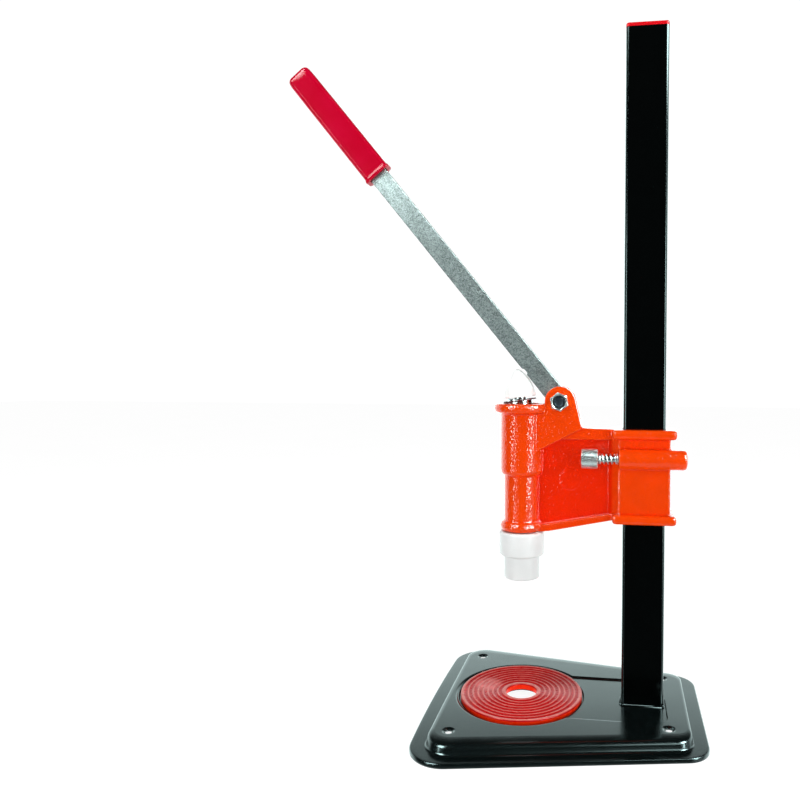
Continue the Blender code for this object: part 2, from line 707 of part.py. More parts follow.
def dome_profile():
    """A socket in the foot, a thin lip and a blunt ogive."""
    profile = [(0, DOME_SOCKET_DEPTH), (DOME_SOCKET_R, DOME_SOCKET_DEPTH), (DOME_SOCKET_R, 0)]
    profile += [(DOME_LIP_R - 0.4, 0), (DOME_LIP_R, 0.5), (DOME_LIP_R, DOME_LIP_H - 0.5)]
    for step in range(11):
        angle = math.pi / 2 * step / 10
        radius = DOME_R * math.cos(angle) ** DOME_POWER if step < 10 else 0
        profile.append((radius, DOME_LIP_H + DOME_HEIGHT * math.sin(angle) ** DOME_POWER))
    return profile


def build_rod(parent, material):
    """Rod, piston and neck in one piece; the neck and its spigot stand off centre under the dome."""
    at = (AXIS_X, 0, 0)
    foot = CRIMP_TOP_Z - ROD_SEAT
    rod = [(0, foot), (ROD_R - 1, foot), (ROD_R, foot + 1), (ROD_R, PISTON_FOOT_Z)]
    rod += [(PISTON_R - 0.6, PISTON_FOOT_Z), (PISTON_R, PISTON_FOOT_Z + 0.6)]
    rod += [(PISTON_R, PISTON_TOP_Z - 0.6), (PISTON_R - 0.6, PISTON_TOP_Z), (0, PISTON_TOP_Z)]
    rod_object = mesh_object("plunger_rod", turned(rod, 40), material, parent, at)
    spigot_top = NECK_TOP_Z + SPIGOT_H
    neck = [(0, PISTON_TOP_Z - 2), (NECK_R, PISTON_TOP_Z - 2), (NECK_R, NECK_TOP_Z), (SPIGOT_R, NECK_TOP_Z)]
    neck += [(SPIGOT_R, spigot_top), (0, spigot_top)]
    neck_at = (AXIS_X + DOME_SHIFT, 0, 0)
    boolean(rod_object, "UNION", mesh_object("neck_mass", turned(neck, 40), None, parent, neck_at))


def build_plunger(parent, steel, nylon, rubber):
    build_rod(parent, steel)
    dome = leaning(turned(dome_profile(), 40), DOME_TILT)
    mesh_object("plunger_dome", dome, nylon, parent, (AXIS_X + DOME_SHIFT, 0, DOME_FOOT_Z))

    ring = [(NECK_R + 2 * GAP, -0.6), (16.0, -0.6), (16.3, 0.0), (16.0, 0.6), (NECK_R + 2 * GAP, 0.6)]
    wiper = leaning(turned(ring, 36), WIPER_TILT)
    mesh_object("wiper_ring", wiper, rubber, parent, (AXIS_X + DOME_SHIFT, 0, WIPER_Z))

    build_crimp_head(parent, nylon)


def build_crimp_head(parent, material):
    rod_foot = CRIMP_TOP_Z - ROD_SEAT
    socket_top = CRIMP_FOOT_Z + CRIMP_SOCKET_DEPTH
    crimp = [(0, rod_foot - GAP), (ROD_R + GAP, rod_foot - GAP), (ROD_R + GAP, CRIMP_TOP_Z)]
    crimp += [(CRIMP_R - 0.8, CRIMP_TOP_Z), (CRIMP_R, CRIMP_TOP_Z - 0.8), (CRIMP_R, CRIMP_SHOULDER_Z + 2.4)]
    crimp += [(CRIMP_R - 0.8, CRIMP_SHOULDER_Z + 0.7), (CRIMP_R - 2.6, CRIMP_SHOULDER_Z)]
    crimp += [(CRIMP_NOSE_R, CRIMP_SHOULDER_Z - 0.4), (CRIMP_NOSE_R, CRIMP_FOOT_Z + 4.5)]
    crimp += [(CRIMP_NOSE_R - 1.2, CRIMP_FOOT_Z + 1.4), (CRIMP_NOSE_R - 4, CRIMP_FOOT_Z)]
    crimp += [(CRIMP_SOCKET_R + 1, CRIMP_FOOT_Z), (CRIMP_SOCKET_R, CRIMP_FOOT_Z + 2)]
    crimp += [(CRIMP_SOCKET_R, socket_top), (0, socket_top)]
    mesh_object("crimp_head", turned(crimp, 48), material, parent, (AXIS_X, 0, 0))


# Lever and grip, drawn along local X from the pivot and then tilted to the lever's angle.


def tilt_to_lever(bm):
    tilt = Matrix.Rotation(math.pi + LEVER_ANGLE, 3, "Y")
    bmesh.ops.rotate(bm, cent=(0, 0, 0), matrix=tilt, verts=bm.verts)
    return bm


def lever_outline():
    """A flat bar, rounded at the pivot, with a shallow notch in its lower edge."""
    half = LEVER_W / 2
    outline = arc((0, 0), half, 90, 270, 12)
    outline += [(LEVER_LENGTH - 2, -half), (LEVER_LENGTH, -half + 2)]
    outline += [(LEVER_LENGTH, half - 2), (LEVER_LENGTH - 2, half)]
    return outline + [(48.5, half), (46.5, half - 1.5), (42.0, half - 1.5), (40.5, half)]


def build_lever(parent, steel, vinyl):
    at = (PIVOT_X, 0, PIVOT_Z)
    bar = tilt_to_lever(prism(lever_outline(), -LEVER_T / 2, LEVER_T / 2, "Y"))
    lever = mesh_object("lever_bar", bar, steel, parent, at)
    hole = turned([(0, -6), (BOLT_HOLE_R, -6), (BOLT_HOLE_R, 6), (0, 6)], 24, "Y")
    boolean(lever, "DIFFERENCE", mesh_object("lever_hole_cutter", hole, None, parent, at))
    mesh_object("lever_grip", tilt_to_lever(grip_sleeve()), vinyl, parent, at)


def grip_sleeve():
    """A dipped sleeve: lofted sections as (distance along, half width, half thickness, corner radius)."""
    inside = (LEVER_W / 2 + GAP, LEVER_T / 2 + GAP, 0.5)
    sections = [(LEVER_LENGTH + GAP, *inside), (GRIP_START, *inside)]
    sections += [(GRIP_START, 14.3, 7.9, 3.5), (GRIP_START + 2.5, 14.3, 7.9, 3.5)]
    sections += [(GRIP_START + 4, 13.7, 7.4, 4.0), (GRIP_END - 9, 13.1, 7.2, 4.5)]
    sections += [(GRIP_END - 3, 12.6, 6.8, 4.5), (GRIP_END - 0.8, 11.4, 5.6, 4.0), (GRIP_END, 9.6, 4.2, 3.0)]
    bm = bmesh.new()
    rings = []
    for along, half_w, half_t, corner in sections:
        outline = rounded_rectangle(half_w, half_t, corner, steps=3)
        rings.append([bm.verts.new((along, y, z)) for z, y in outline])
    for ring, following in zip(rings, rings[1:]):
        bridge(bm, ring, following)
    bm.faces.new(rings[0])
    bm.faces.new(rings[-1])
    return bm


# Height catch.


def build_catch(moving, head, zinc, steel):
    at = (0, CATCH_Y, CATCH_Z)
    knob = [(CATCH_ROD_R + GAP, KNOB_RIGHT), (KNOB_R - 0.8, KNOB_RIGHT), (KNOB_R, KNOB_RIGHT - 0.8)]
    knob += [(KNOB_R, KNOB_LEFT + 1.0), (KNOB_R - 1.0, KNOB_LEFT), (0, KNOB_LEFT), (0, KNOB_LEFT + 4)]
    knob += [(CATCH_ROD_R + GAP, KNOB_LEFT + 4)]
    mesh_object("catch_button", turned(knob, 40, "X"), zinc, moving, at)

    rod_end = PAWL_RIGHT - 0.4
    shoulder = PAWL_LEFT - GAP
    rod = [(0, KNOB_LEFT + 4 + GAP), (CATCH_ROD_R, KNOB_LEFT + 4 + GAP), (CATCH_ROD_R, shoulder)]
    rod += [(TENON_R, shoulder), (TENON_R, rod_end), (0, rod_end)]
    rod_object = mesh_object("catch_rod", turned(rod, 20, "X"), steel, moving, at)

    arm = block((PAWL_LEFT, -4.6, -PAWL_HALF_Z), (PAWL_RIGHT, 6 - CATCH_Y, PAWL_HALF_Z))
    pawl = mesh_object("catch_pawl", arm, steel, moving, at)
    nose_low = (NOSE_LEFT, -CATCH_Y - NOSE_HALF_Y, 0.4 - PAWL_HALF_Z)
    nose_high = (PAWL_LEFT + 1, -CATCH_Y + NOSE_HALF_Y, PAWL_HALF_Z - 0.4)
    boolean(pawl, "UNION", mesh_object("nose_mass", block(nose_low, nose_high), None, moving, at))
    seat_r = TENON_R + GAP
    seat = [(0, PAWL_LEFT - 2), (seat_r, PAWL_LEFT - 2), (seat_r, PAWL_RIGHT + 2), (0, PAWL_RIGHT + 2)]
    boolean(pawl, "DIFFERENCE", mesh_object("rod_seat_cutter", turned(seat, 20, "X"), None, moving, at))

    pin_x = (PAWL_LEFT + PAWL_RIGHT) / 2
    for name, radius, half in (("pin_hole_cutter", PIN_R + 0.2, 9), ("pawl_pin", PIN_R, 3.4)):
        pin = turned([(0, -half), (radius, -half), (radius, half), (0, half)], 12)
        bmesh.ops.translate(pin, vec=(pin_x, 0, 0), verts=pin.verts)
        pin_object = mesh_object(name, pin, zinc, moving, at)
        if name == "pin_hole_cutter":
            boolean(rod_object, "DIFFERENCE", pin_object)
            boolean(pawl, "DIFFERENCE", pin_object)

    spring = coil(4.6, 1.2, KNOB_RIGHT + GAP, BOSS_LEFT - GAP, 6, "X", steps=12, sides=6)
    mesh_object("catch_spring", spring, steel, head, at)


def main():
    clear_scene()
    black_paint = make_material("black_paint", (0.015, 0.016, 0.017), 0.22)
    orange_paint = make_material("orange_paint", (0.86, 0.10, 0.012), 0.30)
    red_rubber = make_material("red_rubber", (0.62, 0.02, 0.025), 0.55)
    red_plastic = make_material("red_plastic", (0.60, 0.02, 0.02), 0.35)
    red_vinyl = make_material("red_vinyl", (0.62, 0.01, 0.05), 0.30)
    white_nylon = make_material("white_nylon", (0.88, 0.88, 0.87), 0.40)
    black_nylon = make_material("black_nylon", (0.03, 0.03, 0.035), 0.50)
    galvanised = make_material("galvanised_steel", (0.42, 0.44, 0.43), 0.45, 1.0)
    zinc = make_material("zinc_plate", (0.66, 0.67, 0.68), 0.28, 1.0)
    bright_steel = make_material("bright_steel", (0.62, 0.62, 0.62), 0.25, 1.0)
    black_steel = make_material("black_oxide_steel", (0.03, 0.035, 0.04), 0.40, 1.0)
    bronze = make_material("bronze", (0.55, 0.36, 0.16), 0.40, 1.0)

    machine = make_empty("machine", (0, 0, 0))
    machine.location.x = COLUMN_X * MM
    head = make_empty("head", (0, 0, CATCH_Z), machine)
    plunger = make_empty("plunger", (AXIS_X, 0, CRIMP_TOP_Z), head)
    lever = make_empty("lever", (PIVOT_X, 0, PIVOT_Z), head)
    catch = make_empty("catch", (0, CATCH_Y, CATCH_Z), head)

    build_base(machine, black_paint)
    build_column(machine, black_paint)
    build_cap(machine, red_plastic)
    build_weld(machine, black_paint)
    build_pad(machine, red_rubber)
    build_casting(head, orange_paint)
    build_pivot(head, zinc, black_steel, black_nylon)
    build_guide(head, bronze, bright_steel)
    build_plunger(plunger, bright_steel, white_nylon, black_nylon)
    build_lever(lever, galvanised, red_vinyl)
    build_catch(catch, head, zinc, bright_steel)


main()
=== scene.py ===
"""Looks of the bench capping machine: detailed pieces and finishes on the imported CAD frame.

Shapes are drawn in millimetres about a point of the frame, and piece() turns them into metres. The studio's
floor, world, lights and camera come last.
"""

import json
import math

import bmesh
import bpy
from mathutils import Matrix, Vector


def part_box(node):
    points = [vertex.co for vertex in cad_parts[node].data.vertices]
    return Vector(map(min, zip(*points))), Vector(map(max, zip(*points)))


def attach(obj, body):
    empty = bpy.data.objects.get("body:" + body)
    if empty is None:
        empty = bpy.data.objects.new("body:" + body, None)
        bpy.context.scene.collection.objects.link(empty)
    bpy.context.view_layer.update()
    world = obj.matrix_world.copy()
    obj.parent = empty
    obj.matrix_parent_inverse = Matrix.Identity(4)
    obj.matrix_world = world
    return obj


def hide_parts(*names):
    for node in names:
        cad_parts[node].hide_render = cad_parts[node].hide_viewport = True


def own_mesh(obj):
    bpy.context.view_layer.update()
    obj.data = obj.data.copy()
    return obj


MM = 0.001
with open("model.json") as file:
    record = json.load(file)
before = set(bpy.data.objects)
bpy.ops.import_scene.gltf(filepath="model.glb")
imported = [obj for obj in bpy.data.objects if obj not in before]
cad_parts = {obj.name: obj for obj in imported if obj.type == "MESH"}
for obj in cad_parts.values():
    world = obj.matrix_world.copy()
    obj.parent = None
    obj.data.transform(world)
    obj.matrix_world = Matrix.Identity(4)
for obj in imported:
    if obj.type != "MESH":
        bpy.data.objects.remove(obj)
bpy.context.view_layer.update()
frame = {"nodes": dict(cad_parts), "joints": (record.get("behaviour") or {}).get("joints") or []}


def millimetres(node):
    """The lowest corner, highest corner and middle of a CAD node, in millimetres."""
    low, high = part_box(node)
    return low / MM, high / MM, (low + high) / 2 / MM


def joint(name):
    """The frame's record of a joint."""
    return next(entry for entry in frame["joints"] if entry["name"] == name)


_, COLUMN_HIGH, COLUMN_MID = millimetres("column")
PAD_LOW, PAD_HIGH, PAD_MID = millimetres("rubber_pad")
CRIMP_LOW, CRIMP_HIGH, CRIMP_MID = millimetres("crimp_head")
PIVOT = Vector(joint("lever_pivot")["pos_m"]) / MM
AXIS = Vector((CRIMP_MID.x, 0, 0))
BASE_AT = Vector((COLUMN_MID.x, 0, 0))


# Meshes, drawn in millimetres.


def piece(name, bm, body, look, nodes, at=(0, 0, 0), sharp=35):
    """Turn a bmesh into a piece that rides on a body and stands for CAD nodes.

    Edges that turn by more than the sharp angle, in degrees, are shaded as edges.
    """
    bmesh.ops.recalc_face_normals(bm, faces=bm.faces)
    bmesh.ops.translate(bm, vec=Vector(at), verts=bm.verts)
    bmesh.ops.scale(bm, vec=(MM, MM, MM), verts=bm.verts)
    mesh = bpy.data.meshes.new(name)
    bm.to_mesh(mesh)
    bm.free()
    mesh.shade_smooth()
    mesh.set_sharp_from_angle(angle=math.radians(sharp))
    obj = bpy.data.objects.new(name, mesh)
    bpy.context.scene.collection.objects.link(obj)
    mesh.materials.append(look)
    return place(obj, body, nodes)


def place(obj, body, nodes):
    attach(obj, body)
    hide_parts(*nodes)
    return obj


def keep_flats(obj):
    """Shade the flat faces beside rounded edges as flat."""
    obj.modifiers.new("flat faces stay flat", "WEIGHTED_NORMAL").keep_sharp = True
    return obj


def add_bevel(obj, width):
    bevel = obj.modifiers.new("edge rounding", "BEVEL")
    bevel.width = width * MM
    bevel.segments = 3
    bevel.limit_method = "ANGLE"
    bevel.angle_limit = math.radians(30)
    return keep_flats(obj)


def bridge(bm, ring, following):
    count = len(ring)
    for i in range(count):
        j = (i + 1) % count
        bm.faces.new((ring[i], ring[j], following[j], following[i]))


def bridge_all(bm, rings):
    for ring, following in zip(rings, rings[1:]):
        bridge(bm, ring, following)


def turn_to(bm, axis):
    """Lay a mesh that is drawn along Z along another axis."""
    turns = {"X": Matrix.Rotation(math.pi / 2, 3, "Y"), "Y": Matrix.Rotation(-math.pi / 2, 3, "X")}
    if axis in turns:
        bmesh.ops.rotate(bm, cent=(0, 0, 0), matrix=turns[axis], verts=bm.verts)
    return bm


def lathe(profile, segments=96, axis="Z"):
    """Revolve an outline of (radius, height) points; an outline that leaves the axis is closed on itself."""
    bm = bmesh.new()
    rings = []
    for radius, height in profile:
        if radius == 0:
            rings.append([bm.verts.new((0, 0, height))])
            continue
        steps = (2 * math.pi * i / segments for i in range(segments))
        rings.append([bm.verts.new((radius * math.cos(a), radius * math.sin(a), height)) for a in steps])
    for lower, upper in zip(rings, rings[1:] + rings[:1]):
        if len(lower) == 1 and len(upper) == 1:
            continue
        for i in range(segments):
            j = (i + 1) % segments
            corners = [ring[k % len(ring)] for ring, k in ((lower, i), (lower, j), (upper, j), (upper, i))]
            bm.faces.new(list(dict.fromkeys(corners)))
    return turn_to(bm, axis)


def loft(sections, capped=True):
    """Skin a stack of outlines, each a list of 3-D points in the same order."""
    bm = bmesh.new()
    rings = [[bm.verts.new(point) for point in section] for section in sections]
    bridge_all(bm, rings)
    if capped:
        bm.faces.new(rings[0])
        bm.faces.new(rings[-1])
    else:
        bridge(bm, rings[-1], rings[0])
    return bm


def arc(centre, radius, start, end, steps):
    """Points along an arc, from one angle to another in degrees."""
    angles = [math.radians(start + (end - start) * i / steps) for i in range(steps + 1)]
    return [(centre[0] + radius * math.cos(a), centre[1] + radius * math.sin(a)) for a in angles]


def rounded_rectangle(half_x, half_y, radius, steps=8):
    outline = []
    for start, sign_x, sign_y in ((0, 1, 1), (90, -1, 1), (180, -1, -1), (270, 1, -1)):
        centre = (sign_x * (half_x - radius), sign_y * (half_y - radius))
        outline += arc(centre, radius, start, start + 90, steps)
    return outline


def softened(profile, radius, steps):
    """Round each corner of an open outline of (radius, height) points, its two ends apart."""
    points = [profile[0]]
    for before, corner, after in zip(profile, profile[1:], profile[2:]):
        here, back, onward = Vector(corner), Vector(before) - Vector(corner), Vector(after) - Vector(corner)
        reach = min(radius, back.length * 0.45, onward.length * 0.45)
        start, end = here + back.normalized() * reach, here + onward.normalized() * reach
        for i in range(steps + 1):
            t = i / steps
            point = start * (1 - t) ** 2 + here * 2 * t * (1 - t) + end * t ** 2
            points.append((point.x, point.y))
    return points + [profile[-1]]


def coil(radius, wire, low, high, turns, axis="Z", steps=36, sides=12):
    """A coil spring between two heights, its end turns wound close."""
    bm = bmesh.new()
    count = turns * steps
    end_turn = 1 / turns
    travel = high - low - wire
    close = wire * 1.03 / travel
    rings = []
    for i in range(count + 1):
        share = i / count
        middle = min(max((share - end_turn) / (1 - 2 * end_turn), 0.0), 1.0)
        ends = (min(share, end_turn) + max(share - 1 + end_turn, 0.0)) / end_turn
        height = low + wire / 2 + travel * (ends * close + middle * (1 - 2 * close))
        angle = 2 * math.pi * turns * share
        outward = Vector((math.cos(angle), math.sin(angle), 0))
        centre = outward * radius + Vector((0, 0, height))
        turn = [2 * math.pi * k / sides for k in range(sides)]
        offsets = [outward * math.cos(t) + Vector((0, 0, 1)) * math.sin(t) for t in turn]
        rings.append([bm.verts.new(centre + offset * wire / 2) for offset in offsets])
    bridge_all(bm, rings)
    bm.faces.new(rings[0])
    bm.faces.new(rings[-1])
    return turn_to(bm, axis)


def refined(node, body, look, bevel):
    """A copy of the CAD solid, its flat faces made whole again and its edges broken by the bevel."""
    mesh = frame["nodes"][node].data.copy()
    bm = bmesh.new()
    bm.from_mesh(mesh)
    bmesh.ops.remove_doubles(bm, verts=bm.verts, dist=2e-6)
    bmesh.ops.dissolve_limit(bm, angle_limit=math.radians(0.6), verts=bm.verts, edges=bm.edges)
    bmesh.ops.scale(bm, vec=(1 / MM,) * 3, verts=bm.verts)
    obj = piece(f"{node}_finished", bm, body, look, [node])
    return add_bevel(obj, bevel) if bevel else keep_flats(obj)


# Finishes.


class Tree:
    """A node tree, with short calls for the few nodes that the finishes and the world use."""

    def __init__(self, tree, coordinates):
        self.nodes, self.links = tree.nodes, tree.links
        self.where = self.node("TexCoord").outputs[coordinates]

    def node(self, kind, sockets=None, **settings):
        node = self.nodes.new(f"ShaderNode{kind}")
        for setting, value in settings.items():
            setattr(node, setting, value)
        for socket, value in (sockets or {}).items():
            if isinstance(value, bpy.types.NodeSocket):
                self.links.new(value, node.inputs[socket])
            else:
                node.inputs[socket].default_value = (*value, 1) if colour_like(node, socket, value) else value
        return node

    def noise(self, scale, detail=3.0, roughness=0.5, vector=None):
        sockets = {"Scale": scale, "Detail": detail, "Roughness": roughness, "Vector": vector or self.where}
        return self.node("TexNoise", sockets).outputs["Fac"]

    def cells(self, scale, output="Color"):
        return self.node("TexVoronoi", {"Scale": scale, "Vector": self.where}).outputs[output]

    def stretched(self, scale):
        return self.node("Mapping", {"Scale": scale, "Vector": self.where}).outputs["Vector"]

    def part(self, axis):
        return self.node("SeparateXYZ", {"Vector": self.where}).outputs[axis]

    def between(self, value, low, high, smooth=True):
        """How far a value has gone from low to high, from 0 to 1."""
        kind = "SMOOTHSTEP" if smooth else "LINEAR"
        sockets = {"Value": value, "From Min": low, "From Max": high}
        return self.node("MapRange", sockets, interpolation_type=kind).outputs["Result"]

    def ramp(self, value, *stops):
        """Map a value through (position, colour or grey) stops."""
        ramp = self.node("ValToRGB", {"Fac": value})
        elements = ramp.color_ramp.elements
        while len(elements) < len(stops):
            elements.new(0.5)
        for element, (position, colour) in zip(elements, stops):
            element.position = position
            element.color = (*colour, 1) if isinstance(colour, tuple) else (colour, colour, colour, 1)
        return ramp.outputs["Color"]

    def mix(self, first, second, share, blend="MIX"):
        mix = self.node("Mix", {0: share, 6: first, 7: second}, data_type="RGBA", blend_type=blend)
        return mix.outputs[2]


def colour_like(node, socket, value):
    return isinstance(value, tuple) and len(value) == 3 and node.inputs[socket].type == "RGBA"


class Look(Tree):
    """A finish: a principled shader with procedural colour, roughness and bump."""

    def __init__(self, name, colour, roughness, metallic=0.0, **sockets):
        self.material = bpy.data.materials.new(name)
        self.material.use_nodes = True
        super().__init__(self.material.node_tree, "Object")
        self.shader = self.nodes["Principled BSDF"]
        sockets.update({"Base Color": (*colour, 1), "Roughness": roughness, "Metallic": metallic})
        for socket, value in sockets.items():
            self.shader.inputs[socket].default_value = value

    def to(self, socket, value):
        self.links.new(value, self.shader.inputs[socket])
        return self

    def bump(self, *layers):
        """Stack bump layers, each a height socket and its depth in millimetres."""
        sockets = {"Strength": 1.0}
        for height, depth in layers:
            bump = self.node("Bump", {**sockets, "Height": height, "Distance": depth * MM})
            sockets["Normal"] = bump.outputs["Normal"]
        return self.to("Normal", sockets["Normal"])


def orange_powder_coat():
    """Gloss orange over a cast skin with coarse orange peel; painted shade darkens the corners, creases and
    recessed web, and painted highlight lightens the sharp edges.
    """
    look = Look("orange_powder_coat", (0.80, 0.055, 0.001), 0.15, **{"Specular IOR Level": 0.4})
    # Painted shade and highlight from pointiness: deeper red in creases and corners, paler orange on sharp
    # edges.
    bend = look.node("NewGeometry").outputs["Pointiness"]
    tone = look.ramp(bend, (0.40, (0.60, 0.010, 0.0004)), (0.49, (0.81, 0.045, 0.0008)),
                     (0.51, (0.81, 0.056, 0.001)), (0.60, (0.90, 0.11, 0.012)))
    # Painted shade: the recessed web, within 6 to 10 mm of the mid-plane, is painted a deeper red.
    depth = look.node("Math", {0: look.part("Y")}, operation="ABSOLUTE").outputs[0]
    recess = look.between(depth, 10 * MM, 6 * MM)
    tone = look.mix(tone, (0.77, 0.019, 0.0002), recess)
    mottle = look.ramp(look.noise(60, 2), (0.3, 0.92), (0.7, 1.0))
    look.to("Base Color", look.mix(tone, mottle, 1.0, "MULTIPLY"))
    look.to("Roughness", look.ramp(look.noise(180, 2), (0.3, 0.06), (0.7, 0.11)))
    dimples = look.node("Math", {0: look.cells(490, "Distance"), 1: 2.0}, operation="POWER").outputs[0]
    return look.bump((dimples, 0.255), (look.noise(45, 2), 0.03))


def black_paint(name, colour, specular, gloss, waviness):
    look = Look(name, colour, 0.2, **{"Specular IOR Level": specular, "Specular Tint": (0.85, 1, 1, 1)})
    darker = tuple(0.7 * channel for channel in colour)
    look.to("Base Color", look.ramp(look.noise(90, 3), (0.35, darker), (0.7, colour)))
    look.to("Roughness", look.ramp(look.noise(60, 3), (0.4, gloss), (0.75, gloss * 1.2)))
    return look.bump((look.noise(260, 1.0), 0.006), (look.noise(14, 1.0), waviness))


def galvanised_steel():
    look = Look("galvanised_steel", (0.30, 0.35, 0.345), 0.45, 0.85)
    spangle = look.ramp(look.cells(330), (0.1, (0.17, 0.19, 0.185)), (0.9, (0.42, 0.45, 0.44)))
    fleck = look.noise(900, 5, 0.75)
    frost = look.ramp(fleck, (0.38, (0.09, 0.11, 0.11)), (0.62, (0.76, 0.80, 0.79)))
    # Painted reflection: the lever is painted darker low down and lighter towards the grip, where it catches
    # a bright reflection.
    painted_lever_light = look.ramp(look.between(look.part("Z"), 0.43, 0.58), (0.0, 0.42), (1.0, 1.0))
    look.to("Base Color", look.mix(look.mix(spangle, frost, 0.65), painted_lever_light, 1.0, "MULTIPLY"))
    look.to("Roughness", look.ramp(fleck, (0.35, 0.38), (0.65, 0.60)))
    return look.bump((fleck, 0.035), (look.noise(160, 2), 0.03))


def zinc_plate():
    look = Look("zinc_plate", (0.66, 0.72, 0.71), 0.26, 0.8)
    scratch = look.noise(320, 3, 0.6, look.stretched((0.12, 1, 1)))
    tone = look.noise(260, 3)
    look.to("Base Color", look.ramp(tone, (0.35, (0.60, 0.67, 0.66)), (0.7, (0.82, 0.89, 0.88))))
    look.to("Roughness", look.ramp(scratch, (0.35, 0.22), (0.65, 0.38)))
    return look.bump((scratch, 0.012))


def bright_steel():
    look = Look("bright_steel", (0.62, 0.64, 0.64), 0.22, 1.0)
    turning = look.noise(420, 2, 0.5, look.stretched((0.15, 0.15, 2.2)))
    look.to("Roughness", look.ramp(turning, (0.3, 0.16), (0.7, 0.32)))
    tone = look.noise(220, 2)
    look.to("Base Color", look.ramp(tone, (0.35, (0.52, 0.56, 0.56)), (0.7, (0.68, 0.72, 0.72))))
    return look.bump((turning, 0.006))


def spring_steel():
    look = Look("spring_steel", (0.66, 0.70, 0.70), 0.25, 0.85)
    drawn = look.noise(700, 2, 0.5)
    look.to("Base Color", look.ramp(drawn, (0.3, (0.52, 0.57, 0.57)), (0.7, (0.80, 0.84, 0.84))))
    look.to("Roughness", look.ramp(drawn, (0.3, 0.20), (0.7, 0.34)))
    return look.bump((drawn, 0.008))


def black_oxide():
    look = Look("black_oxide", (0.028, 0.034, 0.042), 0.38, 0.6)
    oil = look.noise(240, 3)
    look.to("Base Color", look.ramp(oil, (0.3, (0.014, 0.020, 0.028)), (0.7, (0.040, 0.055, 0.070))))
    look.to("Roughness", look.ramp(oil, (0.3, 0.30), (0.7, 0.48)))
    return look.bump((look.noise(900, 2), 0.012))


def vinyl_dip():
    look = Look("crimson_vinyl", (0.48, 0.001, 0.022), 0.22, **{"Specular IOR Level": 0.12})
    tone = look.noise(38, 2)
    look.to("Base Color", look.ramp(tone, (0.3, (0.46, 0.0008, 0.018)), (0.7, (0.50, 0.0015, 0.026))))
    look.to("Roughness", look.ramp(look.noise(300, 3), (0.35, 0.11), (0.7, 0.19)))
    return look.bump((look.noise(60, 2), 0.05), (look.noise(480, 2), 0.008))


def cap_plastic():
    look = Look("red_cap_plastic", (0.50, 0.002, 0.006), 0.36, **{"Specular IOR Level": 0.2})
    tone = look.noise(120, 2)
    look.to("Base Color", look.ramp(tone, (0.3, (0.54, 0.0012, 0.005)), (0.7, (0.62, 0.002, 0.008))))
    return look.bump((look.noise(900, 2), 0.010))


def pad_rubber():
    """Red rubber, paler on the ridges' crests than between them, with painted light brightening the side wall
    and a painted sheen on one patch.
    """
    look = Look("red_pad_rubber", (0.50, 0.018, 0.018), 0.42, **{"Specular IOR Level": 0.15})
    crest = look.between(look.part("Z"), (PAD_HIGH.z - 0.55) * MM, (PAD_HIGH.z - 0.1) * MM, smooth=False)
    # The crests are painted a paler, mottled pink than the grooves.
    pale_crest_tone = look.ramp(look.noise(150, 4, 0.6), (0.35, (0.62, 0.12, 0.105)), (0.75, (0.76, 0.24, 0.21)))
    red = look.mix((0.46, 0.001, 0.003), pale_crest_tone, crest)
    # Painted light: the side wall, shaded by the seat's lip, is painted a bright orange red, and so is the
    # hole's wall.
    painted_light_wall = look.between(look.part("Z"), (PAD_HIGH.z - 1.2) * MM, (PAD_HIGH.z - 1.8) * MM, smooth=False)
    red = look.mix(red, (0.96, 0.026, 0.002), painted_light_wall)
    # A painted sheen: a pale patch on the pad's top, left of and behind its middle.
    painted_sheen_at = (PAD_MID.x * MM - 0.036, PAD_MID.y * MM + 0.012, PAD_HIGH.z * MM)
    away = look.node("VectorMath", {0: look.where, 1: painted_sheen_at}, operation="DISTANCE").outputs["Value"]
    painted_sheen = look.ramp(look.between(away, 0.008, 0.018), (0.0, 0.85), (1.0, 0.0))
    look.to("Base Color", look.mix(red, (0.74, 0.19, 0.18), painted_sheen))
    look.to("Roughness", look.ramp(look.noise(220, 3), (0.3, 0.24), (0.7, 0.36)))
    return look.bump((look.noise(700, 3), 0.02))


def white_nylon():
    look = Look("white_nylon", (0.74, 0.75, 0.745), 0.40, **{"Specular IOR Level": 0.35})
    tone = look.noise(70, 2)
    look.to("Base Color", look.ramp(tone, (0.3, (0.72, 0.735, 0.73)), (0.7, (0.76, 0.77, 0.765))))
    turning = look.noise(520, 2, 0.5, look.stretched((0.1, 0.1, 2)))
    look.to("Roughness", look.ramp(turning, (0.3, 0.36), (0.7, 0.50)))
    return look.bump((turning, 0.010))


def milky_nylon():
    """The dome's clearer grade: almost as white as its surroundings."""
    look = Look("milky_nylon", (0.93, 0.935, 0.93), 0.34, **{"Specular IOR Level": 0.5})
    tone = look.noise(70, 2)
    look.to("Base Color", look.ramp(tone, (0.3, (0.91, 0.92, 0.91)), (0.7, (0.95, 0.955, 0.95))))
    look.to("Roughness", look.ramp(look.noise(300, 2), (0.3, 0.28), (0.7, 0.42)))
    return look.bump((look.noise(240, 2), 0.015))


def black_nylon():
    look = Look("black_nylon", (0.020, 0.021, 0.023), 0.45)
    look.to("Roughness", look.ramp(look.noise(400, 3), (0.3, 0.38), (0.7, 0.55)))
    return look.bump((look.noise(800, 2), 0.012))


def oxblood_rubber():
    look = Look("oxblood_rubber", (0.06, 0.008, 0.010), 0.45)
    look.to("Roughness", look.ramp(look.noise(400, 3), (0.3, 0.38), (0.7, 0.55)))
    return look.bump((look.noise(700, 2), 0.015))


def sintered_bronze():
    look = Look("sintered_bronze", (0.50, 0.30, 0.12), 0.40, 1.0)
    grains = look.cells(1400, "Distance")
    look.to("Base Color", look.ramp(grains, (0.1, (0.36, 0.20, 0.07)), (0.6, (0.58, 0.36, 0.16))))
    return look.bump((grains, 0.02))


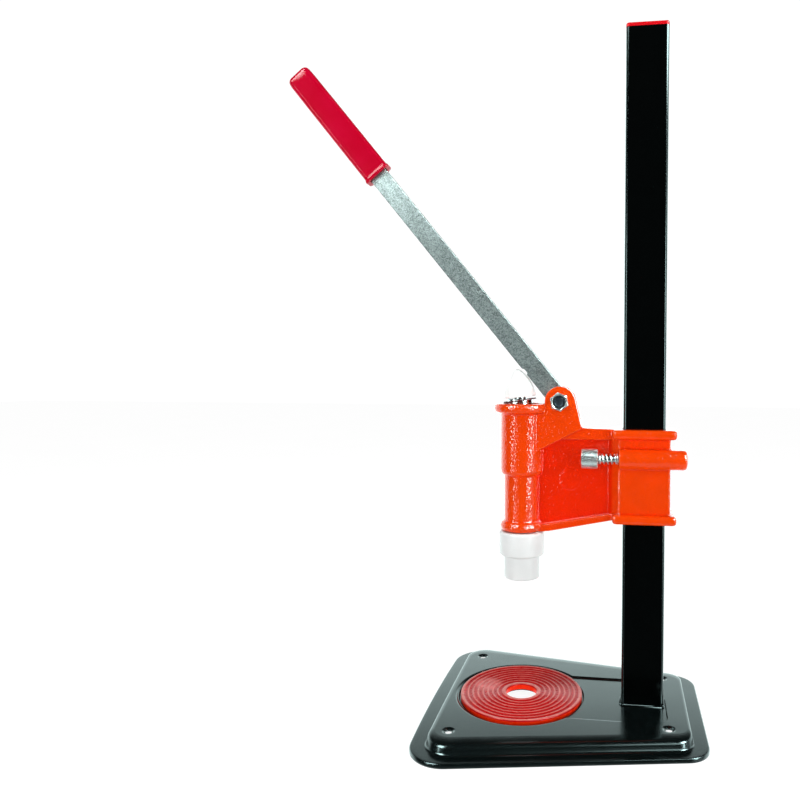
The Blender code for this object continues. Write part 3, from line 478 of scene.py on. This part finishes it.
def floor_paper():
    """A back-lit white table: bright enough that the machine stands in almost no shadow."""
    look = Look("pale_floor", (0.18, 0.18, 0.18), 0.9, **{"Specular IOR Level": 0.0})
    look.to("Base Color", look.ramp(look.noise(3, 2), (0.2, 0.17), (0.8, 0.19)))
    look.shader.inputs["Emission Color"].default_value = (1, 1, 1, 1)
    look.shader.inputs["Emission Strength"].default_value = 0.93
    return look


# Base plate: pressed sheet, drawn about the foot of the column's centre line.

SHEET = 1.8
FLANGE_Z = 4.0
RIM_RADIUS = 1.6
RIM_REACH = 0.10
PLATFORM_Z = 13.0
RECESS_DEPTH = 4.0
CHANNEL_DEPTH = 1.5
PRESS_AT = (AXIS.x - COLUMN_MID.x, 0)
RIM = dict(left=-204.0, right=57.0, half=89.8, taper=0.183, radii=(31.0, 24.0), bulge=4.2)
FOOT = dict(left=-192.5, right=44.0, half=81.6, taper=0.180, radii=(23.0, 17.0), bulge=1.2)
TOP = dict(left=-186.5, right=39.6, half=64.8, taper=0.170, radii=(15.0, 13.0), bulge=0.0)
RECESS_R = 63.3
CHANNEL_HALF = 42.5
CHANNEL_END = 22.0
FLOOR_HOLE_R = 18.0
SCREW_PLACES = ((-173.0, 82.4), (-173.0, -82.4), (22.3, 52.3), (22.3, -52.3))

# Sections of the pressing. The shoulder's points are shares of the way from foot to top, inward and upward.
# A point of the lip or of the seat's wall is how far it lies outside the recess's plan, and its height from
# the platform. A point of the dimple is its radius, and its height from the platform.

SHOULDER = ((0.0, 0.0), (0.10, 0.02), (0.20, 0.12), (0.275, 0.40), (0.335, 0.66), (0.43, 0.84),
            (0.60, 0.945), (0.85, 0.99))
RECESS_LIP = ((3.0, 0.0), (2.0, -0.12), (1.0, -0.6), (0.3, -1.15), (-0.3, -1.45), (-0.6, -CHANNEL_DEPTH))
SEAT_WALL = ((-0.9, -CHANNEL_DEPTH), (-1.15, -1.7), (-1.35, -2.4), (-1.5, -3.2), (-1.75, -3.8),
             (-2.3, -RECESS_DEPTH))
SCREW_DIMPLE = ((6.4, 0.0), (5.6, -0.05), (4.8, -0.4), (4.0, -0.9), (3.4, -1.15), (3.0, -1.4))


def rounded_corner(before, corner, after, radius, steps):
    """Points round a corner between two neighbours, along an arc that touches both sides."""
    back = (before - corner).normalized()
    onward = (after - corner).normalized()
    half_angle = back.angle(onward) / 2
    centre = corner + (back + onward).normalized() * (radius / math.sin(half_angle))
    start = corner + back * (radius / math.tan(half_angle)) - centre
    sweep = math.pi - 2 * half_angle
    return [centre + Matrix.Rotation(sweep * i / steps, 2) @ start for i in range(steps + 1)]


def plan_outline(left, right, half, taper, radii, bulge):
    """A tapered plan with rounded corners; its left edge bows out by the bulge."""
    width_left = half - taper * left
    width_right = half - taper * right
    corners = [(left, -width_left), (right, -width_right), (right, width_right), (left, width_left)]
    corners = [Vector(corner) for corner in corners]
    corner_radii = (radii[0], radii[1], radii[1], radii[0])
    arcs = []
    for i, radius in enumerate(corner_radii):
        arcs.append(rounded_corner(corners[i - 1], corners[i], corners[(i + 1) % 4], radius, 20))
    points = []
    for i, side_steps in enumerate((36, 20, 36, 36)):
        points += arcs[i]
        following = arcs[(i + 1) % 4][0]
        points += [arcs[i][-1].lerp(following, step / side_steps) for step in range(1, side_steps)]
    for point in points:
        nearness = max(0.0, 1 - (point.x - left) / radii[0])
        point.x -= bulge * nearness * (1 - (point.y / width_left) ** 2)
    return [(point.x, point.y) for point in points]


def keyhole_outline(grow):
    """The recess: a round seat for the pad, opening into a channel that runs to the column."""
    radius = RECESS_R + grow
    half = CHANNEL_HALF + grow
    mouth = math.degrees(math.asin(half / radius))
    points = arc(PRESS_AT, radius, mouth, 360 - mouth, 140)
    mouth_x = points[-1][0]
    corner = 12.0 + grow
    end = CHANNEL_END + 0.3 * grow
    run = end - corner - mouth_x
    points += [(mouth_x + run * i / 12, -half) for i in range(1, 12)]
    points += arc((end - corner, -half + corner), corner, 270, 360, 12)
    points += arc((end - corner, half - corner), corner, 0, 90, 12)
    points += [(end - corner - run * i / 12, half) for i in range(1, 12)]
    return points


def blended(outline, other, share):
    """An outline part of the way to another."""
    return [(a[0] + (b[0] - a[0]) * share, a[1] + (b[1] - a[1]) * share) for a, b in zip(outline, other)]


def add_ring(bm, outline, z):
    return [bm.verts.new((x, y, z)) for x, y in outline]


def fill_between(bm, *rings):
    """Fill the flat area that the rings bound."""
    edges = []
    for ring in rings:
        edges += [bm.edges.get((a, b)) or bm.edges.new((a, b)) for a, b in zip(ring, ring[1:] + ring[:1])]
    bmesh.ops.triangle_fill(bm, use_beauty=True, use_dissolve=False, edges=edges)


def catmull_rom(before, start, end, after, t):
    """A value part of the way from start to end, on a smooth curve through all four."""
    slope = end - before
    bend = 2 * before - 5 * start + 4 * end - after
    twist = 3 * start - before - 3 * end + after
    return 0.5 * (2 * start + slope * t + bend * t * t + twist * t ** 3)


def smooth_line(points, steps):
    """Sample a smooth line through (across, up) points."""
    line = []
    padded = [points[0], *points, points[-1]]
    for stretch in zip(padded, padded[1:], padded[2:], padded[3:]):
        for i in range(steps):
            line.append(tuple(catmull_rom(*values, i / steps) for values in zip(*stretch)))
    return line + [points[-1]]


def circle(centre, radius, steps):
    return arc(centre, radius, 0, 360 - 360 / steps, steps - 1)


def press_rim(bm):
    """The turned-down rim, the flange and the shoulder; gives back the ring on the platform."""
    rim, foot, top = (plan_outline(**shape) for shape in (RIM, FOOT, TOP))
    levels = [add_ring(bm, rim, z) for z in (0.0, 1.2, FLANGE_Z - RIM_RADIUS)]
    for turn in range(18, 91, 18):
        angle = math.radians(turn)
        inner = blended(rim, foot, RIM_REACH * (1 - math.cos(angle)))
        levels.append(add_ring(bm, inner, FLANGE_Z - RIM_RADIUS * (1 - math.sin(angle))))
    for share in (0.35, 0.65):
        levels.append(add_ring(bm, blended(rim, foot, share), FLANGE_Z))
    rise = PLATFORM_Z - FLANGE_Z
    for inward, upward in smooth_line(SHOULDER, 4) + [(1.0, 1.0), (1.04, 1.0)]:
        levels.append(add_ring(bm, blended(foot, top, inward), FLANGE_Z + rise * upward))
    bridge_all(bm, levels)
    return levels[-1]


def press_recess(bm):
    """The recess's lip and the pad's seat; gives back the lip's ring on the platform and the seat's last."""
    lip = [add_ring(bm, keyhole_outline(4.5), PLATFORM_Z)]
    for grow, drop in smooth_line(RECESS_LIP, 4):
        lip.append(add_ring(bm, keyhole_outline(grow), PLATFORM_Z + drop))
    bridge_all(bm, lip)
    seat = []
    for grow, drop in smooth_line(SEAT_WALL, 4):
        seat.append(add_ring(bm, circle(PRESS_AT, RECESS_R + grow, 120), PLATFORM_Z + drop))
    bridge_all(bm, seat)
    fill_between(bm, lip[-1], seat[0])
    return lip[0], seat[-1]


def press_dimple(bm, place_at):
    """The dimple round a screw hole; gives back its ring on the platform."""
    rings = [add_ring(bm, circle(place_at, radius, 36), PLATFORM_Z + drop) for radius, drop in SCREW_DIMPLE]
    bridge_all(bm, rings)
    return rings[0]


def base_sheet(look):
    """The pressed sheet: one surface, thickened downward."""
    bm = bmesh.new()
    platform_edge = press_rim(bm)
    recess_edge, seat_edge = press_recess(bm)
    dimples = [press_dimple(bm, place_at) for place_at in SCREW_PLACES]
    fill_between(bm, platform_edge, recess_edge, *dimples)
    hole = add_ring(bm, circle(PRESS_AT, FLOOR_HOLE_R, 100), PLATFORM_Z - RECESS_DEPTH)
    fill_between(bm, seat_edge, hole)

    obj = piece("base_sheet", bm, "base", look, ["base_plate"], BASE_AT, sharp=50)
    if sum(polygon.normal.z * polygon.area for polygon in obj.data.polygons) < 0:
        obj.data.flip_normals()
    solidify = obj.modifiers.new("sheet thickness", "SOLIDIFY")
    solidify.thickness = SHEET * MM
    solidify.offset = -1.0
    solidify.use_even_offset = True
    return keep_flats(obj)


def ribbed_pad(look):
    """The pad: concentric round-topped ridges between a plain rim and the edge of the hole."""
    foot, crest = PAD_LOW.z, PAD_HIGH.z
    outer = PAD_HIGH.x - PAD_MID.x
    hole, edge_radius = 15.3, 1.4
    first, last = hole + 3.4, outer - 2.4
    ridges, steps = 8, 14
    pitch = (last - first) / ridges
    groove, narrowness = 1.1, 2.6
    profile = [(hole, foot), (outer - 0.8, foot), (outer - 0.2, foot + 0.4), (outer, foot + 1.0)]
    profile.append((outer, crest - 1.6))
    profile += arc((outer - edge_radius, crest - edge_radius), edge_radius, 0, 90, 6)[1:]
    for ridge in range(ridges):
        for i in range(steps):
            share = i / steps
            radius = last - (ridge + share) * pitch
            dip = 0.5 - 0.5 * math.cos(2 * math.pi * share)
            profile.append((radius, crest - groove * (1 - (1 - dip) ** narrowness)))
    profile += [(first, crest), (hole + 1.2, crest), (hole + 0.4, crest - 0.3), (hole, crest - 1.0)]
    turned = lathe(profile, 160)
    return piece("ribbed_pad", turned, "base", look, ["rubber_pad"], AXIS, sharp=60)


def weld_bead(look):
    """A hand-laid fillet weld: a ring of overlapping drops round the column's foot, rough and uneven."""
    beside_x, beside_y, corner = 20.3, 10.3, 3.3
    outline = rounded_rectangle(beside_x, beside_y, corner, 26)
    size, ripple, drop_turn = 1.7, 0.3, 1.9
    furthest = beside_x + 0.5
    reach = [size + ripple * math.sin(i * drop_turn) + 0.2 * math.sin(i * 0.47) for i in range(len(outline))]
    sections = []
    for share, rise in ((0.0, 0.0), (1.0, 0.0), (0.92, 0.22), (0.62, 0.55), (0.25, 0.86), (0.0, 1.0)):
        ring = []
        for i, (x, y) in enumerate(outline):
            outward = Vector((x, y)).normalized() * reach[i] * share
            toe = min(x + outward.x, furthest)
            ring.append((toe, y + outward.y, rise * (size + ripple * math.sin(i * drop_turn + 1))))
        sections.append(ring)
    bead = loft(sections, capped=False)
    foot = (COLUMN_MID.x, 0, PLATFORM_Z - CHANNEL_DEPTH)
    return piece("weld_bead", bead, "base", look, ["foot_weld"], foot, sharp=70)


def column_plug(look):
    """The plug in the column's top: a skirt inside the tube under a cushioned rim."""
    low, high, middle = millimetres("column_cap")
    half_x, half_y = (high.x - low.x) / 2, (high.y - low.y) / 2
    rim_foot = COLUMN_HIGH.z + 0.3 - high.z
    skirt = (17.7, 7.7, 1.0)
    corner, edge_radius = 3.0, 1.3
    levels = [(low.z - high.z, skirt), (rim_foot, skirt), (rim_foot, (half_x, half_y, corner))]
    for turn in range(0, 91, 15):
        inset = edge_radius * (1 - math.cos(math.radians(turn)))
        height = -edge_radius * (1 - math.sin(math.radians(turn)))
        levels.append((height, (half_x - inset, half_y - inset, corner - inset)))
    plug = loft([[(x, y, height) for x, y in rounded_rectangle(*shape)] for height, shape in levels])
    return piece("column_plug", plug, "base", look, ["column_cap"], (middle.x, 0, high.z))


# Head. The dome's foot stands off the barrel's axis and leans. The casting mark is a low round pad on the
# web. The nut's collar holds its nylon ring.

DOME_SHIFT = -2.4
DOME_FOOT = 308.2
DOME_TILT = math.radians(6)
DOME_R = 15.9
DOME_RISE = 25.4
DOME_LIP = 2.0
DOME_POWER = 2 / 1.55
WIPER_TILT = math.radians(8)
WEB_HALF = 4.0
MARK_R = 10.0
MARK_PROUD = 0.42
MARK_AT = Vector((COLUMN_MID.x - 70.5, MARK_PROUD - WEB_HALF, 228.5))
HEX_FLATS = 16.0
HEX_CHAMFER = 0.9
HEX_TURN = 20.0
BOLT_R = 5.0
BOLT_HEAD_FOOT = 14.1
NUT_BORE_R = 5.3
NUT_COLLAR_R = 6.5
NUT_COLLAR = 3.0


def cast_head(look):
    """The casting with the soft edges and fillets that the mould gives: the solid remeshed, then smoothed."""
    mesh = frame["nodes"]["head_casting"].data.copy()
    bm = bmesh.new()
    bm.from_mesh(mesh)
    lying = Matrix.Translation(MARK_AT * MM) @ Matrix.Rotation(math.pi / 2, 4, "X")
    mark = dict(radius1=MARK_R * MM, radius2=MARK_R * MM, depth=4 * MARK_PROUD * MM)
    bmesh.ops.create_cone(bm, cap_ends=True, segments=64, matrix=lying, **mark)
    bm.to_mesh(mesh)
    bm.free()
    obj = bpy.data.objects.new("cast_head", mesh)
    bpy.context.scene.collection.objects.link(obj)
    obj.data.materials.clear()
    obj.data.materials.append(look)
    remesh = obj.modifiers.new("casting skin", "REMESH")
    remesh.mode = "VOXEL"
    remesh.voxel_size = 0.6 * MM
    remesh.use_smooth_shade = True
    smooth = obj.modifiers.new("mould radii", "SMOOTH")
    smooth.factor = 0.5
    smooth.iterations = 5
    return place(obj, "head", ["head_casting"])


def hexagonal(low, high, segments=96):
    """A hexagon with the round chamfer of a turned nut or bolt head at each end, along Z."""
    apothem = HEX_FLATS / 2
    face_circle, past_corners = 0.98, 1.2
    levels = ((low, face_circle), (low + HEX_CHAMFER, past_corners))
    levels += ((high - HEX_CHAMFER, past_corners), (high, face_circle))
    sections = []
    for height, limit in levels:
        ring = []
        for i in range(segments):
            angle = 2 * math.pi * i / segments
            face = (math.degrees(angle) - HEX_TURN) % 60 - 30
            radius = min(apothem / math.cos(math.radians(face)), apothem * limit)
            ring.append((radius * math.cos(angle), radius * math.sin(angle), height))
        sections.append(ring)
    return sections


def round_ring(outline, radius, height):
    """A round ring with a point in the direction of each point of an outline."""
    directions = [Vector(point[:2]).normalized() for point in outline]
    return [(radius * direction.x, radius * direction.y, height) for direction in directions]


def lock_nut(zinc, nylon):
    """The nut, its collar rolled over a nylon ring that grips the thread."""
    low, high, _ = millimetres("pivot_nut")
    foot, top = low.y, high.y
    outer = hexagonal(foot, top)
    inside = ((NUT_BORE_R, top), (NUT_BORE_R, foot + NUT_COLLAR), (NUT_COLLAR_R, foot + NUT_COLLAR),
              (NUT_COLLAR_R, foot + 0.3), (NUT_COLLAR_R + 0.4, foot))
    inner = [round_ring(outer[0], radius, height) for radius, height in inside]
    nut = turn_to(loft(outer + inner, capped=False), "Y")
    piece("lock_nut", nut, "head", zinc, ["pivot_nut"], PIVOT, sharp=25)
    ring = [(NUT_BORE_R, foot + 2.7), (6.2, foot + 2.7), (6.2, foot + 0.7), (5.9, foot + 0.35)]
    ring += [(5.5, foot + 0.5), (NUT_BORE_R, foot + 0.9)]
    piece("lock_ring", lathe(ring, 64, "Y"), "head", nylon, ["nut_locking_insert"], PIVOT)


def pivot_bolt(black):
    """The bolt: a shank with a cupped, chamfered end and a few turns of thread, and a hexagon head."""
    low, high, _ = millimetres("pivot_bolt")
    end, thread_start = low.y, millimetres("pivot_nut")[0].y + NUT_COLLAR
    depth, half_pitch = 0.35, 0.75
    inside_head = BOLT_HEAD_FOOT + 0.5
    shank = [(0, end + 0.25), (3.6, end + 0.25), (3.9, end), (4.4, end), (BOLT_R, end + 0.9)]
    shank.append((BOLT_R, thread_start))
    shank += [(BOLT_R - depth * (i % 2), thread_start + i * half_pitch) for i in range(12)]
    shank += [(BOLT_R, inside_head), (0, inside_head)]
    turned = lathe(shank, 64, "Y")
    piece("pivot_shank", turned, "head", black, ["pivot_bolt"], PIVOT)
    hexagon = turn_to(loft(hexagonal(BOLT_HEAD_FOOT, high.y)), "Y")
    piece("pivot_head", hexagon, "head", black, ["pivot_bolt"], PIVOT, sharp=25)


def leaning(bm, angle):
    """Tilt a mesh about the Y axis."""
    bmesh.ops.rotate(bm, cent=(0, 0, 0), matrix=Matrix.Rotation(-angle, 3, "Y"), verts=bm.verts)
    return bm


def dome_profile():
    """A socket in the foot, a thin lip and a blunt ogive."""
    socket_r, socket_top = 7.6, 10.5
    profile = [(0, socket_top), (socket_r, socket_top), (socket_r, 0), (DOME_R, 0)]
    profile += [(16.2, 0.25), (16.3, 0.7), (16.25, 1.4), (15.95, DOME_LIP)]
    steps = 28
    for step in range(1, steps + 1):
        angle = math.pi / 2 * step / steps
        radius = DOME_R * math.cos(angle) ** DOME_POWER if step < steps else 0
        profile.append((radius, DOME_LIP + DOME_RISE * math.sin(angle) ** DOME_POWER))
    return profile


def wiper_profile():
    """A flattened round section."""
    half = 0.6
    section = [(radius, height * 0.8) for radius, height in circle((14.8, 0), 1.5, 24)]
    return [(radius, max(min(height, half), -half)) for radius, height in section]


def crimp_profile():
    """A wide collar over a narrower nose, with a socket for the cap below and a bore for the rod above."""
    top = CRIMP_HIGH.z - CRIMP_LOW.z
    collar_r, nose_r, shoulder = 22.0, 17.4, 23.0
    bore_r, bore_foot = 8.3, top - 12.9
    outer = [(12.0, 2.0), (13.4, 0.0), (nose_r, 0.0), (nose_r, shoulder), (collar_r, shoulder + 0.2)]
    outer += [(collar_r, top), (bore_r, top)]
    socket = [(0, 10.0), (11.0, 10.0), (12.0, 9.0)]
    return socket + softened(outer, 3.4, 8) + [(bore_r, bore_foot), (0, bore_foot)]


def plunger_parts(steel, nylon, clear_nylon, rubber):
    refined("plunger_rod", "plunger", steel, bevel=0.3)
    dome = leaning(lathe(dome_profile()), DOME_TILT)
    dome_at = (AXIS.x + DOME_SHIFT, 0, DOME_FOOT)
    piece("press_dome", dome, "plunger", clear_nylon, ["plunger_dome"], dome_at)
    wiper = leaning(lathe(wiper_profile()), WIPER_TILT)
    wiper_at = (AXIS.x + DOME_SHIFT, 0, millimetres("wiper_ring")[2].z)
    piece("wiper", wiper, "plunger", rubber, ["wiper_ring"], wiper_at, sharp=80)
    bell_at = (AXIS.x, 0, CRIMP_LOW.z)
    piece("crimp_bell", lathe(crimp_profile()), "plunger", nylon, ["crimp_head"], bell_at)


def springs(look):
    """Both coils, each wound to span its CAD node, on a mesh of its own."""
    low, high, _ = millimetres("return_spring")
    wound = coil(radius=10.9, wire=2.2, low=low.z, high=high.z, turns=11)
    spring = piece("return_coil", wound, "head", look, ["return_spring"], AXIS, sharp=80)
    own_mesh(spring)

    low, high, middle = millimetres("catch_spring")
    wound = coil(radius=4.55, wire=1.25, low=low.x, high=high.x, turns=6, axis="X")
    at = (0, middle.y, middle.z)
    spring = piece("catch_coil", wound, "head", look, ["catch_spring"], at, sharp=80)
    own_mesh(spring)


# Lever, drawn along X from the pivot and tilted. The grip's sections are a place along the lever, from its
# start or from its end, then half the width, half the thickness and the corner's radius.

LEVER_ANGLE = math.radians(50.75)
LEVER_W = 18.8
LEVER_T = 8.0
LEVER_LENGTH = 419.0
GRIP_START = 289.3
GRIP_END = 423.5
GRIP_GAP = 0.3
GRIP_FLARE = ((0, 13.9, 7.5, 3.6), (0.5, 14.3, 7.9, 3.9), (1.8, 14.4, 8.0, 4.0), (3.2, 13.8, 7.5, 3.9),
              (5, 13.5, 7.3, 4.2), (40, 13.35, 7.25, 4.4), (90, 13.15, 7.15, 4.6))
GRIP_TIP = ((-10, 12.95, 7.0, 4.8), (-5, 12.75, 6.9, 4.8), (-2.4, 12.2, 6.4, 4.7), (-0.9, 11.2, 5.5, 4.4),
            (-0.2, 9.8, 4.3, 3.6), (0, 7.6, 2.8, 2.4))


def lever_grip(look):
    """A dipped vinyl sleeve: soft edges, a flared lip where it ends and a full, rounded tip."""
    inside = (LEVER_W / 2 + GRIP_GAP, LEVER_T / 2 + GRIP_GAP, 0.6)
    levels = [(LEVER_LENGTH + GRIP_GAP, *inside), (GRIP_START + 1.0, *inside), (GRIP_START, 10.3, 4.9, 1.0)]
    levels += [(GRIP_START + along, *shape) for along, *shape in GRIP_FLARE]
    levels += [(GRIP_END + along, *shape) for along, *shape in GRIP_TIP]
    sections = []
    for along, *shape in levels:
        sections.append([(along, y, z) for z, y in rounded_rectangle(*shape)])
    sleeve = leaning(loft(sections), -math.pi - LEVER_ANGLE)
    return piece("dipped_grip", sleeve, "lever", look, ["lever_grip"], PIVOT, sharp=50)


# Height catch.


def catch_parts(zinc, steel):
    """The button with a bore for its rod, and the rod, pawl and pin."""
    low, high, middle = millimetres("catch_button")
    radius = (high.z - low.z) / 2
    length = high.x - low.x
    bore_r, bore_start, chamfer = 3.8, 4.0, 0.9
    profile = [(bore_r, length), (radius - chamfer, length), (radius, length - 0.7), (radius, 1.1)]
    profile += [(radius - chamfer, 0), (0, 0), (0, bore_start), (bore_r, bore_start)]
    at = (low.x, middle.y, middle.z)
    turned = lathe(profile, axis="X")
    piece("push_button", turned, "catch", zinc, ["catch_button"], at, sharp=25)
    refined("catch_rod", "catch", steel, bevel=0.3)
    refined("catch_pawl", "catch", steel, bevel=0.5)
    refined("pawl_pin", "catch", zinc, bevel=0.2)


# Floor, world, lights and camera. Each panel that reflections see has a level, an azimuth and half a width,
# and its lowest and highest elevation, in degrees.

PANELS = (
    (0.06, -127.0, 12.0, -23.0, 14.0),
    (0.12, -26.0, 22.0, -35.0, 30.0),
    (0.90, -38.0, 30.0, 22.0, 38.0),
    (2.4, -134.0, 2.0, -12.0, 12.0),
    (3.5, -132.0, 14.0, 27.0, 58.0),
    (0.7, -115.0, 2.0, -7.0, 7.0),
    (2.8, -36.0, 4.0, -12.0, 12.0),
    (5.0, -30.0, 15.0, 22.0, 50.0),
)
PANEL_EDGE = 2

# The camera's place, in millimetres, and its directions.

CAMERA_AT = Vector((COLUMN_MID.x - 27.07, -684.34, 334.67))
CAMERA_AHEAD = Vector((-0.13378, 0.99045, -0.03326))
CAMERA_RIGHT = Vector((0.99098, 0.13395, 0.00290))


def build_stage():
    bm = bmesh.new()
    bmesh.ops.create_grid(bm, x_segments=1, y_segments=1, size=6.0)
    mesh = bpy.data.meshes.new("studio_floor")
    bm.to_mesh(mesh)
    bm.free()
    floor = bpy.data.objects.new("studio_floor", mesh)
    floor.data.materials.append(floor_paper().material)
    bpy.context.scene.collection.objects.link(floor)
    floor.visible_glossy = False


def softbox(tree, azimuth, half_width, low, high):
    """A soft-edged panel in a world's directions, in degrees: 0 outside it and 1 within."""
    turn = math.radians(azimuth)
    level = tree.node("VectorMath", {0: tree.stretched((1, 1, 0))}, operation="NORMALIZE").outputs[0]
    aim = tree.node("VectorMath", {0: level, 1: (math.cos(turn), math.sin(turn), 0)}, operation="DOT_PRODUCT")
    ends = (math.cos(math.radians(half_width + spread)) for spread in (PANEL_EDGE, -PANEL_EDGE))
    share = tree.between(aim.outputs["Value"], *ends)
    for edge, spread in ((low, PANEL_EDGE), (high, -PANEL_EDGE)):
        ends = (math.sin(math.radians(edge - spread)), math.sin(math.radians(edge + spread)))
        within = tree.between(tree.part("Z"), *ends)
        share = tree.node("Math", {0: share, 1: within}, operation="MULTIPLY").outputs[0]
    return share


def build_world():
    """A white studio. Reflections see a grey backdrop behind, a dark room in front and the softboxes."""
    world = bpy.data.worlds.new("studio")
    bpy.context.scene.world = world
    world.use_nodes = True
    tree = Tree(world.node_tree, "Generated")
    height = tree.between(tree.part("Z"), -1.0, 1.0, smooth=False)
    room = tree.ramp(height, (0.0, 0.07), (0.20, 0.07), (0.27, 0.003), (0.65, 0.003), (1.0, 0.004))
    backdrop = tree.ramp(height, (0.0, 0.10), (0.45, 0.27), (0.695, 0.25), (0.762, 0.010), (1.0, 0.004))
    mirror = tree.mix(room, backdrop, tree.between(tree.part("Y"), -0.1, 0.3))
    for level, *panel in PANELS:
        mirror = tree.mix(mirror, (level, level, level), softbox(tree, *panel))
    tinted = tree.mix(mirror, (0.82, 1.0, 0.99), 1.0, "MULTIPLY")
    mirrored = tree.node("Background", {"Color": tinted, "Strength": 10.0})
    seen = tree.node("Background", {"Color": (1, 1, 1), "Strength": 1.05})
    lit = tree.node("Background", {"Color": (1, 1, 1), "Strength": 0.30})
    ray = tree.node("LightPath").outputs
    mixed = tree.node("MixShader", {0: ray["Is Glossy Ray"], 1: lit.outputs[0], 2: mirrored.outputs[0]})
    mixed = tree.node("MixShader", {0: ray["Is Camera Ray"], 1: mixed.outputs[0], 2: seen.outputs[0]})
    tree.links.new(mixed.outputs[0], tree.nodes["World Output"].inputs["Surface"])


def add_light(name, at, target, size, power):
    data = bpy.data.lights.new(name, "AREA")
    data.shape = "RECTANGLE"
    data.size, data.size_y = size
    data.energy = power
    light = bpy.data.objects.new(name, data)
    light.location = at
    light.rotation_euler = (Vector(target) - Vector(at)).to_track_quat("-Z", "Y").to_euler()
    light.visible_glossy = False
    bpy.context.scene.collection.objects.link(light)


def build_lights():
    """A strip at the left, a softbox at the right and a long strip overhead."""
    head = Vector((AXIS.x * MM, 0, 0.26))
    for name, angle, distance, size, power in (
        ("left_strip", -133.4, 1.5, (0.6, 1.5), 8.5),
        ("right_softbox", -43.4, 1.5, (0.8, 1.5), 13.0),
    ):
        turn = math.radians(angle)
        at = head + Vector((math.cos(turn), math.sin(turn), 0.12)) * distance
        add_light(name, at, head, size, power)
    add_light("overhead_strip", (0.05, -0.35, 1.9), (0.05, 0, 0.0), (2.0, 0.25), 16.0)


def build_camera():
    """A lens 0.7 m in front of the column and level with the dome, its picture shifted towards the press."""
    data = bpy.data.cameras.new("camera")
    data.sensor_width = 36.0
    data.lens = 31.59
    data.shift_x = -0.1515
    data.shift_y = -0.0083
    data.clip_start = 0.01
    ahead = CAMERA_AHEAD.normalized()
    right = (CAMERA_RIGHT - ahead * CAMERA_RIGHT.dot(ahead)).normalized()
    up = right.cross(ahead)
    at = CAMERA_AT * MM
    camera = bpy.data.objects.new("camera", data)
    camera.matrix_world = Matrix((
        (right.x, up.x, -ahead.x, at.x),
        (right.y, up.y, -ahead.y, at.y),
        (right.z, up.z, -ahead.z, at.z),
        (0, 0, 0, 1),
    ))
    bpy.context.scene.collection.objects.link(camera)
    bpy.context.scene.camera = camera


def build_pieces():
    sheet_paint = black_paint("black_sheet_paint", (0.0022, 0.0042, 0.0042), 0.5, 0.18, 0.1).material
    tube_paint = black_paint("black_tube_paint", (0.0004, 0.0006, 0.0006), 0.5, 0.12, 0.02).material
    orange = orange_powder_coat().material
    steel, zinc, spring = bright_steel().material, zinc_plate().material, spring_steel().material
    nylon, dark_nylon, oxide = white_nylon().material, black_nylon().material, black_oxide().material
    base_sheet(sheet_paint)
    ribbed_pad(pad_rubber().material)
    weld_bead(tube_paint)
    refined("column", "base", tube_paint, bevel=0)
    column_plug(cap_plastic().material)
    cast_head(orange)
    lock_nut(zinc, dark_nylon)
    pivot_bolt(oxide)
    plunger_parts(steel, nylon, milky_nylon().material, oxblood_rubber().material)
    refined("lower_guide_bush", "head", sintered_bronze().material, bevel=0.3)
    springs(spring)
    refined("lever_bar", "lever", galvanised_steel().material, bevel=0.9)
    lever_grip(vinyl_dip().material)
    catch_parts(zinc, steel)


build_camera()
build_pieces()
build_stage()
build_world()
build_lights()
bpy.context.scene.view_settings.view_transform = "Standard"
